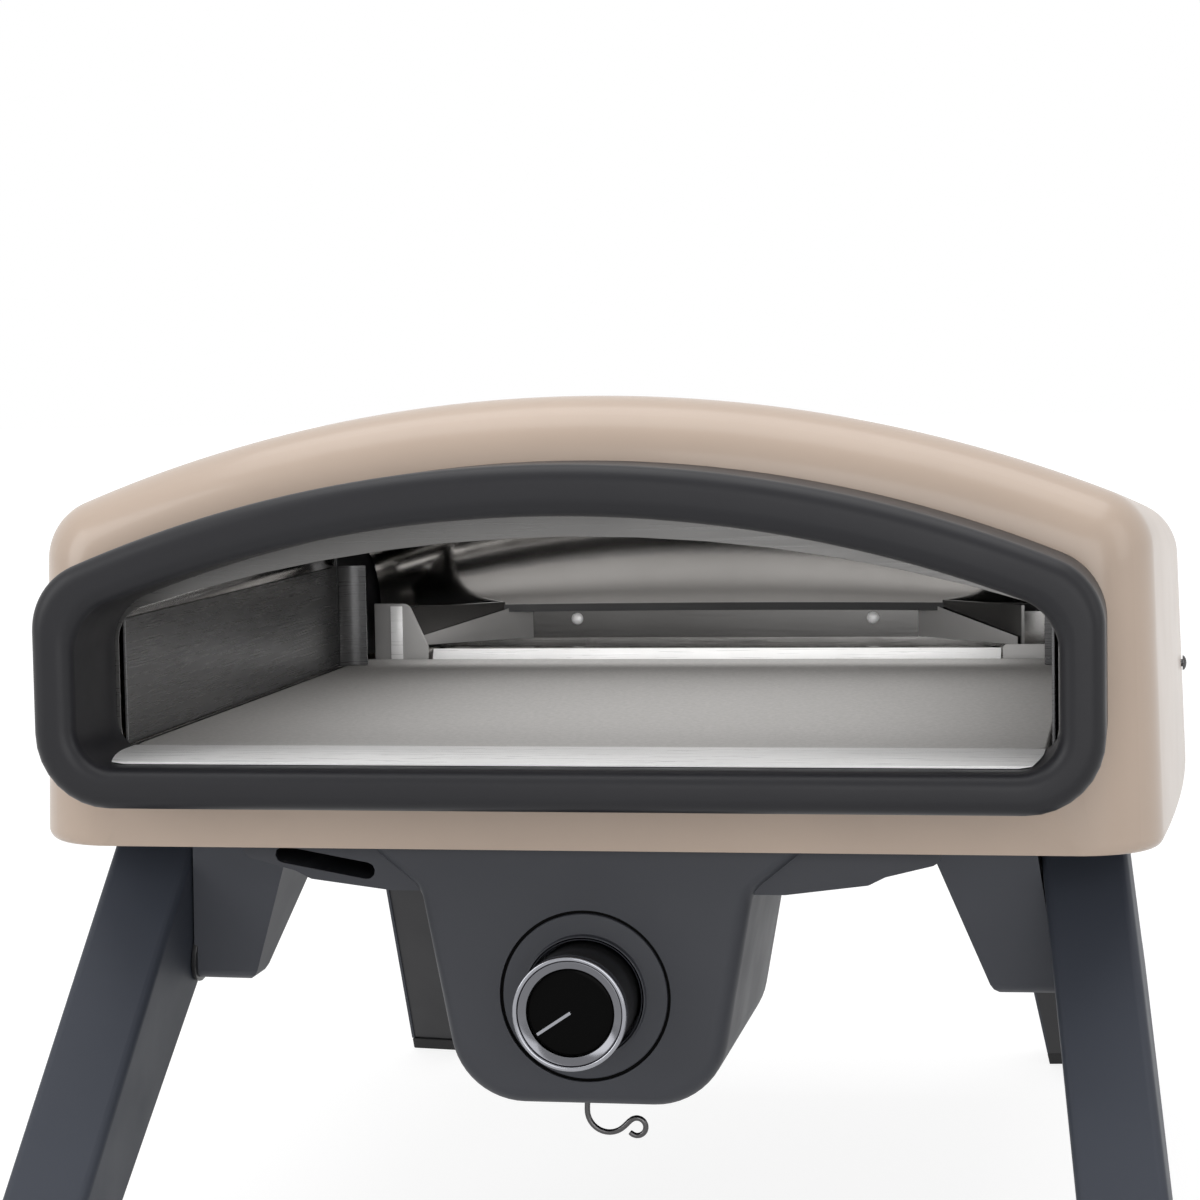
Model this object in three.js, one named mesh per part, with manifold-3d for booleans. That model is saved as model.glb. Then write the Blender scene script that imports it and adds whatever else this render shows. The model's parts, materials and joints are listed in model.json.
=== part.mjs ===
// Portable gas pizza oven on four folding legs, in millimetres with +Z up.
// Drawn with y = 0 at the front face of the mouth frame, y growing towards the
// back, and z = 0 on the ground. The finished group is moved along y so that its
// origin lies under the middle of the footprint.
import * as THREE from 'three';
import { mergeVertices } from 'three/addons/utils/BufferGeometryUtils.js';
import Module from 'manifold-3d';

const wasm = await Module();
wasm.setup();

// Clearances and the overrun that all cutters share
const gap = 0.3;
const runningGap = 0.4;
const overrun = 4;

// Facets: how many steps each kind of curve is drawn with
const cornerSteps = 5;
const archSteps = 14;
const rollSteps = 4;
const roundSteps = 24;
const smallRoundSteps = 14;
const screwSteps = 10;
const coilSteps = 9;
const bendSteps = 6;
const edgeSteps = 3;
const fineSteps = 2;
const hexSides = 6;

// Stance
const baseHeight = 240;
const bodyHeight = 212;
const bodyDepth = 540;
const standout = 60;

// Outer shell
const shell = {
  wall: 2,
  halfFront: 265,
  halfWidest: 283,
  widestShare: 0.66,
  archRadius: 660,
  fall: 24,
  shoulder: 30,
  shoulderRollShare: 0.65,
  lean: 4,
  hem: 6,
  roll: 30,
  lip: 9,
  bellyStations: 5,
};
const bodyFront = standout;
const bodyBack = bodyFront + bodyDepth;
const bodyTop = baseHeight + bodyHeight;

// Mouth frame
const frame = {
  lift: 26,
  half: 244.5,
  height: 156.4,
  archRadius: 593,
  corner: 35,
  shoulder: 32,
  side: 20,
  sill: 19,
  top: 23.4,
  innerArchRadius: 588,
  innerCorner: 18,
  innerShoulder: 25,
  edge: 6,
  wall: 2.5,
  openingShare: 0.75,
};
const frameBottom = baseHeight + frame.lift;
const mouthFloor = frameBottom + frame.sill;

// Front baffle behind the mouth
const baffle = {
  thickness: 1.5,
  coverShare: 0.72,
  lap: 2,
  drop: 12,
  archRadius: 712,
  corner: 16,
  shoulder: 16,
  sillDepth: 3,
};
const baffleFront = bodyFront + shell.wall + gap;
const chamberFront = baffleFront + baffle.thickness + gap;

// Cooking chamber
const sheet = 1.5;
const stone = { clearance: 2.5, depth: 432, thickness: 13, corner: 8, rise: 3.6 };
const stoneTop = mouthFloor + stone.rise;
const stoneBottom = stoneTop - stone.thickness;
const stoneBack = chamberFront + stone.depth;
const liner = { inset: 5, height: 74, depth: 378, tuck: 16, tuckRadius: 12 };
const linerInner = frame.half - frame.side - liner.inset;
const stoneHalf = linerInner - stone.clearance;
const linerTop = stoneBottom + liner.height;
const dome = { rise: 60, archRadius: 560, shoulder: 18, depth: 512 };
const blanket = { thickness: 14, setback: 6 };
const chamberBack = chamberFront + dome.depth;
const sill = { overhang: 42, nose: 2.2, crownShare: 0.3 };

// Burner at the back of the chamber
const burner = {
  radius: 11,
  endRoom: 23.5,
  setback: 24,
  drop: 5.5,
  portLength: 10,
  portWidth: 1.6,
  portCount: 16,
  probe: 3,
  tipShare: 0.33,
};
const burnerY = stoneBack + burner.setback;
const burnerZ = stoneTop - burner.drop;
const shroud = { sideRoom: 29.5, taper: 64, back: 68, height: 24, sheet: 1.2, hole: 6, holeX: 94 };
const guard = { half: 17, sideRoom: 25.5, height: 34, strip: 11, depth: 1.5, setback: 6, footHeight: 8 };
const tailBox = { drop: 36, sheet: 1.5, clearance: 3.5 };
const tailHalf = linerInner - tailBox.clearance;
const venturi = { radius: 9, wall: 1.5, reach: 58, bore: 5 };

// Base plate, tray and control box under the body
const base = { thickness: 1.5, pipeHole: 7 };
const baseUnder = baseHeight + shell.wall + gap;
const hangTop = baseUnder - gap;
const tray = {
  front: 76,
  depth: 318,
  wall: 2,
  half: 168,
  rim: 9,
  hipHalf: 142,
  hip: 15.5,
  stepHalf: 134,
  step: 19.5,
  flatHalf: 95,
  flat: 24.5,
  corner: 5,
  slotX: -127,
  slotLength: 50,
  slotRadius: 4,
  slotDrop: 11.5,
  slotTilt: 0.18,
};
const box = {
  front: 70,
  depth: 160,
  wall: 2.5,
  topHalf: 84.4,
  height: 126,
  slope: 0.184,
  corner: 36,
  edge: 5,
  knobRise: 53,
};
const boxBottom = hangTop - box.height;
const boxBack = box.front + box.depth;

// Knob and valve on the box's front
const knobZ = boxBottom + box.knobRise;
const dial = {
  plate: 39.5,
  groove: 1.2,
  rimOuter: 29.5,
  well: 27.5,
  rimRise: 3.5,
  plateDepth: 2.8,
  flange: 45,
  flangeDepth: 2,
  wellDepth: 16,
  floor: 2,
  stemHole: 6.5,
};
const knob = {
  travel: 4,
  frontRadius: 25.2,
  backRadius: 25.9,
  standout: 34,
  seat: 9.5,
  recess: 20.6,
  recessDepth: 4,
  ringOuter: 26.8,
  ringDepth: 6,
  ringEdge: 2.2,
  capRadius: 20.2,
  pointerWidth: 1.5,
  pointerLength: 19,
  pointerRise: 0.6,
  pointerTurn: 2.556,
  boreDepth: 32,
};
const stem = { radius: 4, tail: 4 };
const valve = { half: 14, height: 36, front: 22, depth: 38, edge: 2 };
const pipe = {
  radius: 4,
  bend: 16,
  outletRise: 11,
  climb: 155,
  runZ: 258,
  inletDrop: 11,
  steps: 28,
  sides: 10,
};
const inlet = { radius: 7, bore: 3.2, length: 28, nut: 10, nutLength: 9, reach: 18 };
const hook = {
  wire: 1.5,
  x: -3.6,
  y: 90,
  drop: 5,
  radius: 10.5,
  eye: 4.4,
  sweep: 2.35,
  curl: Math.PI * 0.55,
  tang: 9,
  steps: 36,
  sides: 8,
};

// Folding legs
const pivotZ = 170;
const leg = {
  tilt: THREE.MathUtils.degToRad(7.5),
  lean: THREE.MathUtils.degToRad(37.7),
  width: 41,
  wall: 2,
  face: 58.4,
  edge: 4.5,
  heel: 13,
  heelFrom: Math.PI * 1.14,
  heelTo: Math.PI * 1.54,
  topRadius: 66.5,
  topRear: 10,
  footRear: 23,
  reach: 290,
  footHeight: 9,
  plug: 8,
};
const frontPivot = { x: 219, y: 163 };
const rearPivot = { x: 175, y: 530 };
const bolt = { radius: 4, head: 8, headDepth: 4.5, grip: 17 };
const washer = { radius: 16, thickness: 2.4 };
const bracket = {
  wall: 3,
  bottom: 14,
  topWidth: 51,
  bottomWidth: 30,
  frontTop: 39.7,
  frontBottom: 8,
  rearTop: 53,
  rearBottom: 9,
  corner: 8,
  stopRadius: 4,
  stopReach: 4.5,
  stopShare: 0.5,
};

// Back panel and screws
const rearPanel = {
  thickness: 1.2,
  overlap: 12,
  vent: 3,
  ventRoundShare: 0.9,
  ventLength: 46,
  ventPitch: 11,
  ventRows: 3,
  ventGap: 14,
  rise: 24,
};
const screw = { head: 4.2, rise: 2.2, shank: 2, length: 6, inset: 7, pitch: 62, sideHeight: 62, sideY: 330 };

// Finishes
function finish(color, roughness, metalness) {
  return new THREE.MeshStandardMaterial({ color, roughness, metalness });
}
const enamel = finish(0xc0ad9c, 0.25, 0.1);
const charcoal = finish(0x46464a, 0.55, 0.2);
const legPaint = finish(0x43454c, 0.5, 0.2);
const steel = finish(0xc9cacb, 0.22, 1);
const darkSteel = finish(0x2b2b2d, 0.3, 0.8);
const stoneClay = finish(0xb9b8b5, 0.9, 0);
const chrome = finish(0xdfe2e6, 0.08, 1);
const blackGloss = finish(0x0b0b0d, 0.12, 0);
const blackPlastic = finish(0x161618, 0.5, 0);
const brass = finish(0xb8954a, 0.35, 1);
const rubber = finish(0x1b1b1c, 0.9, 0);
const wool = finish(0xe6e2d8, 1, 0);

const oven = new THREE.Group();

// Solids: closed meshes joined and cut with manifold
function solid(geometry) {
  const bare = geometry.clone();
  bare.deleteAttribute('normal');
  bare.deleteAttribute('uv');
  const merged = mergeVertices(bare, 1e-4);
  return new wasm.Manifold(new wasm.Mesh({
    numProp: 3,
    vertProperties: new Float32Array(merged.attributes.position.array),
    triVerts: new Uint32Array(merged.index.array),
  }));
}

function cut(geometry, ...tools) {
  return tools.reduce((body, tool) => body.subtract(solid(tool)), solid(geometry));
}

function geometryOf(body) {
  const mesh = body.getMesh();
  const geometry = new THREE.BufferGeometry();
  geometry.setAttribute('position', new THREE.Float32BufferAttribute(mesh.vertProperties, 3));
  geometry.setIndex(Array.from(mesh.triVerts));
  geometry.computeVertexNormals();
  return geometry;
}

function add(name, shape, material, parent = oven) {
  const geometry = shape.isBufferGeometry ? shape : geometryOf(shape);
  const mesh = new THREE.Mesh(geometry, material);
  mesh.name = name;
  parent.add(mesh);
  return mesh;
}

// Outlines
function arc(cx, cy, radius, from, to, steps) {
  const points = [];
  for (let i = 0; i <= steps; i++) {
    const angle = from + ((to - from) * i) / steps;
    points.push(new THREE.Vector2(cx + radius * Math.cos(angle), cy + radius * Math.sin(angle)));
  }
  return points;
}

// A polygon whose corners [x, y, radius] are rounded with arcs
function rounded(corners, steps = cornerSteps) {
  const points = [];
  corners.forEach(([x, y, radius], i) => {
    const corner = new THREE.Vector2(x, y);
    if (!radius) {
      points.push(corner);
      return;
    }
    const before = corners[(i + corners.length - 1) % corners.length];
    const after = corners[(i + 1) % corners.length];
    const inward = new THREE.Vector2(before[0] - x, before[1] - y).normalize();
    const outward = new THREE.Vector2(after[0] - x, after[1] - y).normalize();
    const half = Math.acos(inward.dot(outward)) / 2;
    const middle = inward.clone().add(outward).normalize();
    const centre = corner.clone().addScaledVector(middle, radius / Math.sin(half));
    const start = corner.clone().addScaledVector(inward, radius / Math.tan(half)).sub(centre).angle();
    const end = corner.clone().addScaledVector(outward, radius / Math.tan(half)).sub(centre).angle();
    let sweep = end - start;
    if (sweep > Math.PI) sweep -= 2 * Math.PI;
    if (sweep < -Math.PI) sweep += 2 * Math.PI;
    points.push(...arc(centre.x, centre.y, radius, start, start + sweep, steps));
  });
  return points;
}

// An arched opening or section: flat bottom, straight sides, round shoulders
function arched({ half, bottom, top, archRadius, corner, shoulder, lean = 0 }) {
  const sideTop = half - lean;
  const archZ = top - archRadius;
  const shoulderX = sideTop - shoulder;
  const shoulderZ = archZ + Math.sqrt((archRadius - shoulder) ** 2 - shoulderX ** 2);
  const turn = Math.atan2(shoulderZ - archZ, shoulderX);
  const foot = half - corner;
  return [
    ...arc(foot, bottom + corner, corner, -Math.PI / 2, 0, cornerSteps),
    ...arc(shoulderX, shoulderZ, shoulder, 0, turn, cornerSteps),
    ...arc(0, archZ, archRadius, turn, Math.PI - turn, archSteps).slice(1, -1),
    ...arc(-shoulderX, shoulderZ, shoulder, Math.PI - turn, Math.PI, cornerSteps),
    ...arc(-foot, bottom + corner, corner, Math.PI, Math.PI * 1.5, cornerSteps),
  ];
}

function shapeOf(points, ...holes) {
  const shape = new THREE.Shape(points);
  shape.holes = holes.map((hole) => new THREE.Path(hole));
  return shape;
}

// Extrusions of an outline along each axis
function alongY(shape, from, to) {
  const geometry = new THREE.ExtrudeGeometry(shape, { depth: to - from, bevelEnabled: false });
  return geometry.rotateX(Math.PI / 2).translate(0, to, 0);
}

function alongX(shape, from, to) {
  const geometry = new THREE.ExtrudeGeometry(shape, { depth: to - from, bevelEnabled: false });
  return geometry.rotateX(Math.PI / 2).rotateZ(Math.PI / 2).translate(from, 0, 0);
}

function alongZ(shape, from, to) {
  const geometry = new THREE.ExtrudeGeometry(shape, { depth: to - from, bevelEnabled: false });
  return geometry.translate(0, 0, from);
}

function block(x0, x1, y0, y1, z0, z1) {
  const geometry = new THREE.BoxGeometry(x1 - x0, y1 - y0, z1 - z0);
  return geometry.translate((x0 + x1) / 2, (y0 + y1) / 2, (z0 + z1) / 2);
}

function rodY(radius, from, to, x, z, steps = roundSteps) {
  const geometry = new THREE.CylinderGeometry(radius, radius, to - from, steps);
  return geometry.translate(x, (from + to) / 2, z);
}

function rodX(radius, from, to, y, z, steps = roundSteps) {
  const geometry = new THREE.CylinderGeometry(radius, radius, Math.abs(to - from), steps);
  return geometry.rotateZ(Math.PI / 2).translate((from + to) / 2, y, z);
}

// Profile points [radius, y] turned about the y axis through (x, z)
function turnedY(profile, x, z, steps = roundSteps) {
  const geometry = new THREE.LatheGeometry(profile.map(([r, y]) => new THREE.Vector2(r, y)), steps);
  return geometry.translate(x, 0, z);
}

// A skin through rings of points, with caps or closed on itself
function loft(rings, closed = false) {
  const count = rings[0].length;
  const index = [];
  const bands = closed ? rings.length : rings.length - 1;
  for (let i = 0; i < bands; i++) {
    const a = i * count;
    const b = ((i + 1) % rings.length) * count;
    for (let j = 0; j < count; j++) {
      const k = (j + 1) % count;
      index.push(a + j, b + j, b + k, a + j, b + k, a + k);
    }
  }
  if (!closed) {
    const flat = rings[0].map((p) => new THREE.Vector2(p.x, p.z));
    const last = (rings.length - 1) * count;
    for (const [a, b, c] of THREE.ShapeUtils.triangulateShape(flat, [])) {
      index.push(a, b, c, last + a, last + c, last + b);
    }
  }
  const geometry = new THREE.BufferGeometry();
  geometry.setFromPoints(rings.flat());
  geometry.setIndex(index);
  geometry.computeVertexNormals();
  return geometry;
}

function ringAt(points, y) {
  return points.map((p) => new THREE.Vector3(p.x, y, p.y));
}

// Outer shell: an arched section lofted along the body, rolled at both ends
function halfWidthAt(y) {
  const widest = bodyFront + shell.widestShare * bodyDepth;
  const run = widest - (bodyFront + shell.roll);
  return shell.halfWidest - (shell.halfWidest - shell.halfFront) * ((y - widest) / run) ** 2;
}

// Height of the crown: level over the front roll, then falling to the back
function topAt(y) {
  const start = bodyFront + shell.roll;
  const share = Math.max(0, (y - start) / (bodyBack - start));
  return bodyTop - shell.fall * share;
}

function shellStations(inset) {
  const radius = shell.roll - inset;
  const front = [];
  for (let i = 0; i <= rollSteps; i++) {
    const turn = (Math.PI / 2) * (i / rollSteps);
    front.push({ y: inset + radius * (1 - Math.cos(turn)), offset: shell.roll - radius * Math.sin(turn) });
  }
  const belly = [];
  for (let i = 1; i < shell.bellyStations; i++) {
    const share = i / shell.bellyStations;
    belly.push({ y: shell.roll + share * (bodyDepth - 2 * shell.roll), offset: inset });
  }
  const back = front.map(({ y, offset }) => ({ y: bodyDepth - y, offset })).reverse();
  return [...front, ...belly, ...back].map(({ y, offset }) => ({ y: bodyFront + y, offset }));
}

function shellSection(y, offset, bottom, hem) {
  return arched({
    half: halfWidthAt(y) - offset,
    bottom,
    top: topAt(y) - offset,
    archRadius: shell.archRadius - offset,
    corner: hem,
    shoulder: shell.shoulder - offset * shell.shoulderRollShare,
    lean: shell.lean,
  });
}

function shellBody(inset) {
  const section = ({ y, offset }) => shellSection(y, offset, baseHeight + inset, shell.hem - inset);
  return loft(shellStations(inset).map((station) => ringAt(section(station), station.y)));
}

// The body's plan outline, drawn in by the given inset
function planOutline(inset) {
  const right = shellStations(inset).map(({ y, offset }) => new THREE.Vector2(halfWidthAt(y) - offset, y));
  const left = right.map(({ x, y }) => new THREE.Vector2(-x, y)).reverse();
  return [...right, ...left];
}

function rearOutline(inset) {
  const offset = shell.roll + inset;
  const bottom = baseHeight + shell.lip + inset;
  return shellSection(bodyBack, offset, bottom, shell.hem + inset);
}

function outerShell() {
  return cut(
    shellBody(0),
    shellBody(shell.wall),
    alongY(shapeOf(frameOutline(frame.openingShare)), bodyFront - overrun, bodyFront + shell.wall + overrun),
    alongZ(shapeOf(planOutline(shell.lip)), baseHeight - overrun, baseHeight + shell.wall + overrun),
    alongY(shapeOf(rearOutline(rearPanel.overlap)), bodyBack - shell.wall - overrun, bodyBack + overrun),
    ...rearScrewPlaces().map(([x, z]) => rodY(
      screw.shank + runningGap, bodyBack - shell.wall - overrun, bodyBack + overrun, x, z, smallRoundSteps,
    )),
    ...sideScrewPlaces().map(({ x, side }) => rodX(
      screw.shank + runningGap, x - side * (shell.wall + overrun), x + side * overrun,
      screw.sideY, baseHeight + screw.sideHeight, smallRoundSteps,
    )),
  );
}

// Mouth frame: a channel with rounded edges carried round the arched mouth
function frameOutline(share) {
  const outer = arched({
    half: frame.half,
    bottom: frameBottom,
    top: frameBottom + frame.height,
    archRadius: frame.archRadius,
    corner: frame.corner,
    shoulder: frame.shoulder,
  });
  const inner = mouthOutline(0);
  return outer.map((point, i) => point.clone().lerp(inner[i], share));
}

function mouthOutline(inset) {
  return arched({
    half: frame.half - frame.side - inset,
    bottom: mouthFloor + inset,
    top: frameBottom + frame.height - frame.top - inset,
    archRadius: frame.innerArchRadius - inset,
    corner: frame.innerCorner,
    shoulder: frame.innerShoulder,
  });
}

function mouthFrame() {
  const outerBack = bodyFront - gap;
  const innerBack = baffleFront - gap;
  const section = rounded([
    [0, outerBack, 0],
    [0, 0, frame.edge],
    [frame.side, 0, frame.edge],
    [frame.side, innerBack, 0],
    [frame.side - frame.wall, innerBack, 0],
    [frame.side - frame.wall, frame.wall, 0],
    [frame.wall, frame.wall, 0],
    [frame.wall, outerBack, 0],
  ], edgeSteps).reverse();
  return loft(section.map((p) => ringAt(frameOutline(p.x / frame.side), p.y)), true);
}

function frontBaffle() {
  const hole = arched({
    half: frame.half - frame.side - baffle.lap,
    bottom: mouthFloor - baffle.sillDepth,
    top: frameBottom + frame.height - frame.top - baffle.drop,
    archRadius: baffle.archRadius,
    corner: baffle.corner,
    shoulder: baffle.shoulder,
  });
  const plate = shapeOf(frameOutline(baffle.coverShare), hole);
  return alongY(plate, baffleFront, baffleFront + baffle.thickness);
}

// Sill: a shallow crowned lip from the frame's floor up to the stone
function mouthSill() {
  const front = bodyFront - sill.overhang;
  const back = chamberFront - gap;
  const under = mouthFloor + gap;
  const crown = back - sill.crownShare * (back - front);
  const nose = new THREE.Vector2(front, under + sill.nose / 2);
  const curve = new THREE.QuadraticBezierCurve(
    new THREE.Vector2(crown, stoneTop), new THREE.Vector2((crown + front) / 2, stoneTop), nose,
  );
  const profile = [
    new THREE.Vector2(front, under), new THREE.Vector2(back, under), new THREE.Vector2(back, stoneTop),
    ...curve.getPoints(cornerSteps),
  ];
  const half = frame.half - frame.side;
  const bar = solid(alongX(shapeOf(profile), -half, half));
  return bar.intersect(solid(alongY(shapeOf(mouthOutline(gap)), front - overrun, back + overrun)));
}

// Chamber: stone, its tray, side liners, dome, blanket and back
function pizzaStone() {
  const { corner } = stone;
  const outline = rounded([
    [-stoneHalf, chamberFront, corner], [stoneHalf, chamberFront, corner],
    [stoneHalf, stoneBack, corner], [-stoneHalf, stoneBack, corner],
  ]);
  return alongZ(shapeOf(outline), stoneBottom, stoneTop);
}

function stoneTray() {
  const outer = linerInner + sheet;
  const under = stoneBottom - gap - sheet;
  const back = stoneBack + sheet;
  return cut(
    block(-outer, outer, chamberFront, back, under, stoneTop),
    block(-linerInner, linerInner, chamberFront - overrun, back + overrun, under + sheet, stoneTop + overrun),
  );
}

function sideLiner(side) {
  const inner = linerInner;
  const outer = linerInner + sheet;
  const bend = chamberFront + liner.depth;
  const centre = inner - liner.tuckRadius;
  const end = inner - liner.tuck;
  const outline = [
    new THREE.Vector2(outer, chamberFront),
    ...arc(centre, bend, liner.tuckRadius + sheet, 0, Math.PI / 2, cornerSteps),
    new THREE.Vector2(end, bend + liner.tuckRadius + sheet),
    new THREE.Vector2(end, bend + liner.tuckRadius),
    ...arc(centre, bend, liner.tuckRadius, Math.PI / 2, 0, cornerSteps),
    new THREE.Vector2(inner, chamberFront),
  ];
  const sided = outline.map(({ x, y }) => new THREE.Vector2(side * x, y));
  return alongZ(shapeOf(sided), stoneTop + gap, linerTop);
}

function domeOutline(outset, bottom) {
  return arched({
    half: linerInner + sheet + outset,
    bottom,
    top: linerTop + gap + dome.rise + outset,
    archRadius: dome.archRadius + outset,
    corner: sheet / 2,
    shoulder: dome.shoulder + outset,
  });
}

function innerDome() {
  const bottom = linerTop + gap;
  return cut(
    alongY(shapeOf(domeOutline(0, bottom)), chamberFront, chamberBack),
    alongY(shapeOf(domeOutline(-sheet, bottom - overrun)), chamberFront - overrun, chamberBack + overrun),
  );
}

function insulation() {
  const bottom = linerTop + gap;
  const front = chamberFront + blanket.setback;
  const back = chamberBack - blanket.setback;
  return cut(
    alongY(shapeOf(domeOutline(gap + blanket.thickness, bottom)), front, back),
    alongY(shapeOf(domeOutline(gap, bottom - overrun)), front - overrun, back + overrun),
  );
}

function rearLiner() {
  const plate = domeOutline(0, burnerZ - tailBox.drop);
  return alongY(shapeOf(plate), chamberBack + gap, chamberBack + gap + sheet);
}

// Burner: tube with ports, end caps, shroud, brackets, probes and the box below
function burnerTube() {
  const { radius, portWidth, portLength, portCount } = burner;
  const half = linerInner - burner.endRoom;
  const pitch = (2 * half) / (portCount + 1);
  const ports = Array.from({ length: portCount }, (_, i) => {
    const x = -half + pitch * (i + 1);
    return block(
      x - portLength / 2, x + portLength / 2,
      burnerY - portWidth / 2, burnerY + portWidth / 2, burnerZ, burnerZ + radius + overrun,
    );
  });
  const throat = new THREE.CylinderGeometry(venturi.bore, venturi.bore, radius + overrun, smallRoundSteps);
  throat.rotateX(Math.PI / 2).translate(0, burnerY, burnerZ - (radius + overrun) / 2);
  return cut(
    rodX(radius, -half, half, burnerY, burnerZ),
    rodX(radius - sheet, sheet - half, half - sheet, burnerY, burnerZ),
    throat,
    ...ports,
  );
}

function burnerShroud() {
  const { height, hole, holeX } = shroud;
  const frontHalf = linerInner - shroud.sideRoom;
  const backHalf = frontHalf - shroud.taper;
  const front = stoneBack + guard.setback + guard.depth + gap;
  const back = stoneBack + shroud.back;
  const line = [[frontHalf, front], [backHalf, back]];
  const slant = new THREE.Vector2(backHalf - frontHalf, back - front).normalize();
  const inner = shroud.sheet / Math.abs(slant.y);
  const right = line.map(([x, y]) => new THREE.Vector2(x, y));
  const left = line.map(([x, y]) => new THREE.Vector2(-x, y)).reverse();
  const outline = [
    ...right, ...left,
    new THREE.Vector2(-frontHalf + inner, front),
    new THREE.Vector2(-backHalf + shroud.sheet, back - shroud.sheet),
    new THREE.Vector2(backHalf - shroud.sheet, back - shroud.sheet),
    new THREE.Vector2(frontHalf - inner, front),
  ];
  const bottom = burnerZ + burner.radius + sheet + gap;
  const holes = [-holeX, holeX].map((x) => rodY(
    hole / 2, back - overrun, back + overrun, x, bottom + height / 2, smallRoundSteps,
  ));
  return cut(alongZ(shapeOf(outline), bottom, bottom + height), ...holes);
}

function tailTray() {
  const front = stoneBack + sheet + gap;
  const bottom = burnerZ - tailBox.drop;
  const top = stoneTop - sheet;
  const wall = tailBox.sheet;
  return cut(
    block(-tailHalf, tailHalf, front, chamberBack, bottom, top),
    block(
      wall - tailHalf, tailHalf - wall, front + wall, chamberBack - wall, bottom + wall, top + overrun,
    ),
    rodY(venturi.radius + runningGap, front - overrun, front + wall + overrun, 0, pipe.runZ),
  );
}

function burnerBracket(side, height) {
  const y = stoneBack + guard.setback;
  const foot = burnerZ - tailBox.drop + tailBox.sheet + gap;
  const middle = linerInner - guard.sideRoom;
  const inner = middle - guard.half;
  const outer = middle + guard.half;
  const outline = [
    [side * inner, foot, 0],
    [side * outer, foot, 0],
    [side * outer, stoneTop + height, 0],
    [side * (outer - guard.strip * 2), stoneTop + height, guard.strip / 2],
    [side * inner, stoneTop + guard.footHeight, guard.strip / 4],
  ];
  return alongY(shapeOf(rounded(outline)), y, y + guard.depth);
}

function probe(x) {
  const foot = burnerZ - tailBox.drop + tailBox.sheet + gap;
  const radius = burner.probe;
  const tip = radius * burner.tipShare;
  const head = burnerZ;
  const top = head + 3 * radius;
  const profile = [[0, foot], [radius, foot], [radius, head], [tip, head + radius], [tip, top], [0, top]];
  const geometry = new THREE.LatheGeometry(profile.map(([r, h]) => new THREE.Vector2(r, h)), smallRoundSteps);
  return geometry.rotateX(Math.PI / 2).translate(x, burnerY + burner.radius + 3 * radius, 0);
}

// Tubes swept along a path
function tubeAlong(path, radius, steps, sides) {
  const circle = new THREE.Shape(arc(0, 0, radius, 0, 2 * Math.PI, sides).slice(0, -1));
  return new THREE.ExtrudeGeometry(circle, { steps, bevelEnabled: false, extrudePath: path });
}

// A path in the plane of symmetry through [y, z] corners, bent at a radius
function bentPath(corners, bend) {
  const points = corners.map(([y, z]) => new THREE.Vector3(0, y, z));
  const path = new THREE.CurvePath();
  let from = points[0];
  for (let i = 1; i < points.length - 1; i++) {
    const enter = points[i].clone().add(points[i - 1].clone().sub(points[i]).setLength(bend));
    const leave = points[i].clone().add(points[i + 1].clone().sub(points[i]).setLength(bend));
    path.add(new THREE.LineCurve3(from, enter));
    path.add(new THREE.QuadraticBezierCurve3(enter, points[i], leave));
    from = leave;
  }
  path.add(new THREE.LineCurve3(from, points[points.length - 1]));
  return path;
}

function mixingTube() {
  const bend = venturi.radius + 2 * venturi.wall;
  const start = burnerY - venturi.reach;
  const end = burnerZ - burner.radius - gap;
  const path = bentPath([[start, pipe.runZ], [burnerY, pipe.runZ], [burnerY, end]], bend);
  const longer = bentPath(
    [[start - overrun, pipe.runZ], [burnerY, pipe.runZ], [burnerY, end + overrun]], bend,
  );
  return cut(
    tubeAlong(path, venturi.radius, pipe.steps / 2, roundSteps / 2),
    tubeAlong(longer, venturi.radius - venturi.wall, pipe.steps / 2, roundSteps / 2),
  );
}

// Underside: base plate, tray and control box
function basePlate() {
  const plate = alongZ(shapeOf(planOutline(shell.wall + shell.hem)), baseUnder, baseUnder + base.thickness);
  const hole = new THREE.CylinderGeometry(base.pipeHole, base.pipeHole, 2 * overrun, smallRoundSteps);
  hole.rotateX(Math.PI / 2).translate(0, pipe.climb, baseUnder);
  return cut(plate, hole);
}

function trayOutline(inset, top) {
  const right = [
    [tray.flatHalf - inset, hangTop - tray.flat + inset, tray.corner],
    [tray.stepHalf - inset, hangTop - tray.step + inset, tray.corner / 2],
    [tray.hipHalf - inset, hangTop - tray.hip + inset, tray.corner / 2],
    [tray.half - inset, hangTop - tray.rim + inset, tray.corner],
    [tray.half - inset, top, 0],
  ];
  const left = right.map(([x, z, radius]) => [-x, z, radius]).reverse();
  return rounded([...right, ...left], fineSteps);
}

function bottomTray() {
  const { front, depth, wall, slotX, slotLength, slotRadius, slotDrop, slotTilt } = tray;
  const back = front + depth;
  const slot = [
    ...arc(slotLength / 2 - slotRadius, 0, slotRadius, -Math.PI / 2, Math.PI / 2, cornerSteps),
    ...arc(slotRadius - slotLength / 2, 0, slotRadius, Math.PI / 2, Math.PI * 1.5, cornerSteps),
  ];
  const slotTool = new THREE.ExtrudeGeometry(shapeOf(slot), { depth: 2 * overrun, bevelEnabled: false });
  slotTool.rotateZ(-slotTilt).rotateX(Math.PI / 2).translate(slotX, front + overrun, hangTop - slotDrop);
  return cut(
    alongY(shapeOf(trayOutline(0, hangTop)), front, back),
    alongY(shapeOf(trayOutline(wall, hangTop + overrun)), front + wall, back - wall),
    alongY(shapeOf(boxOutline(-gap, hangTop + overrun)), box.front - overrun, boxBack + gap),
    slotTool,
  );
}

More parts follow.
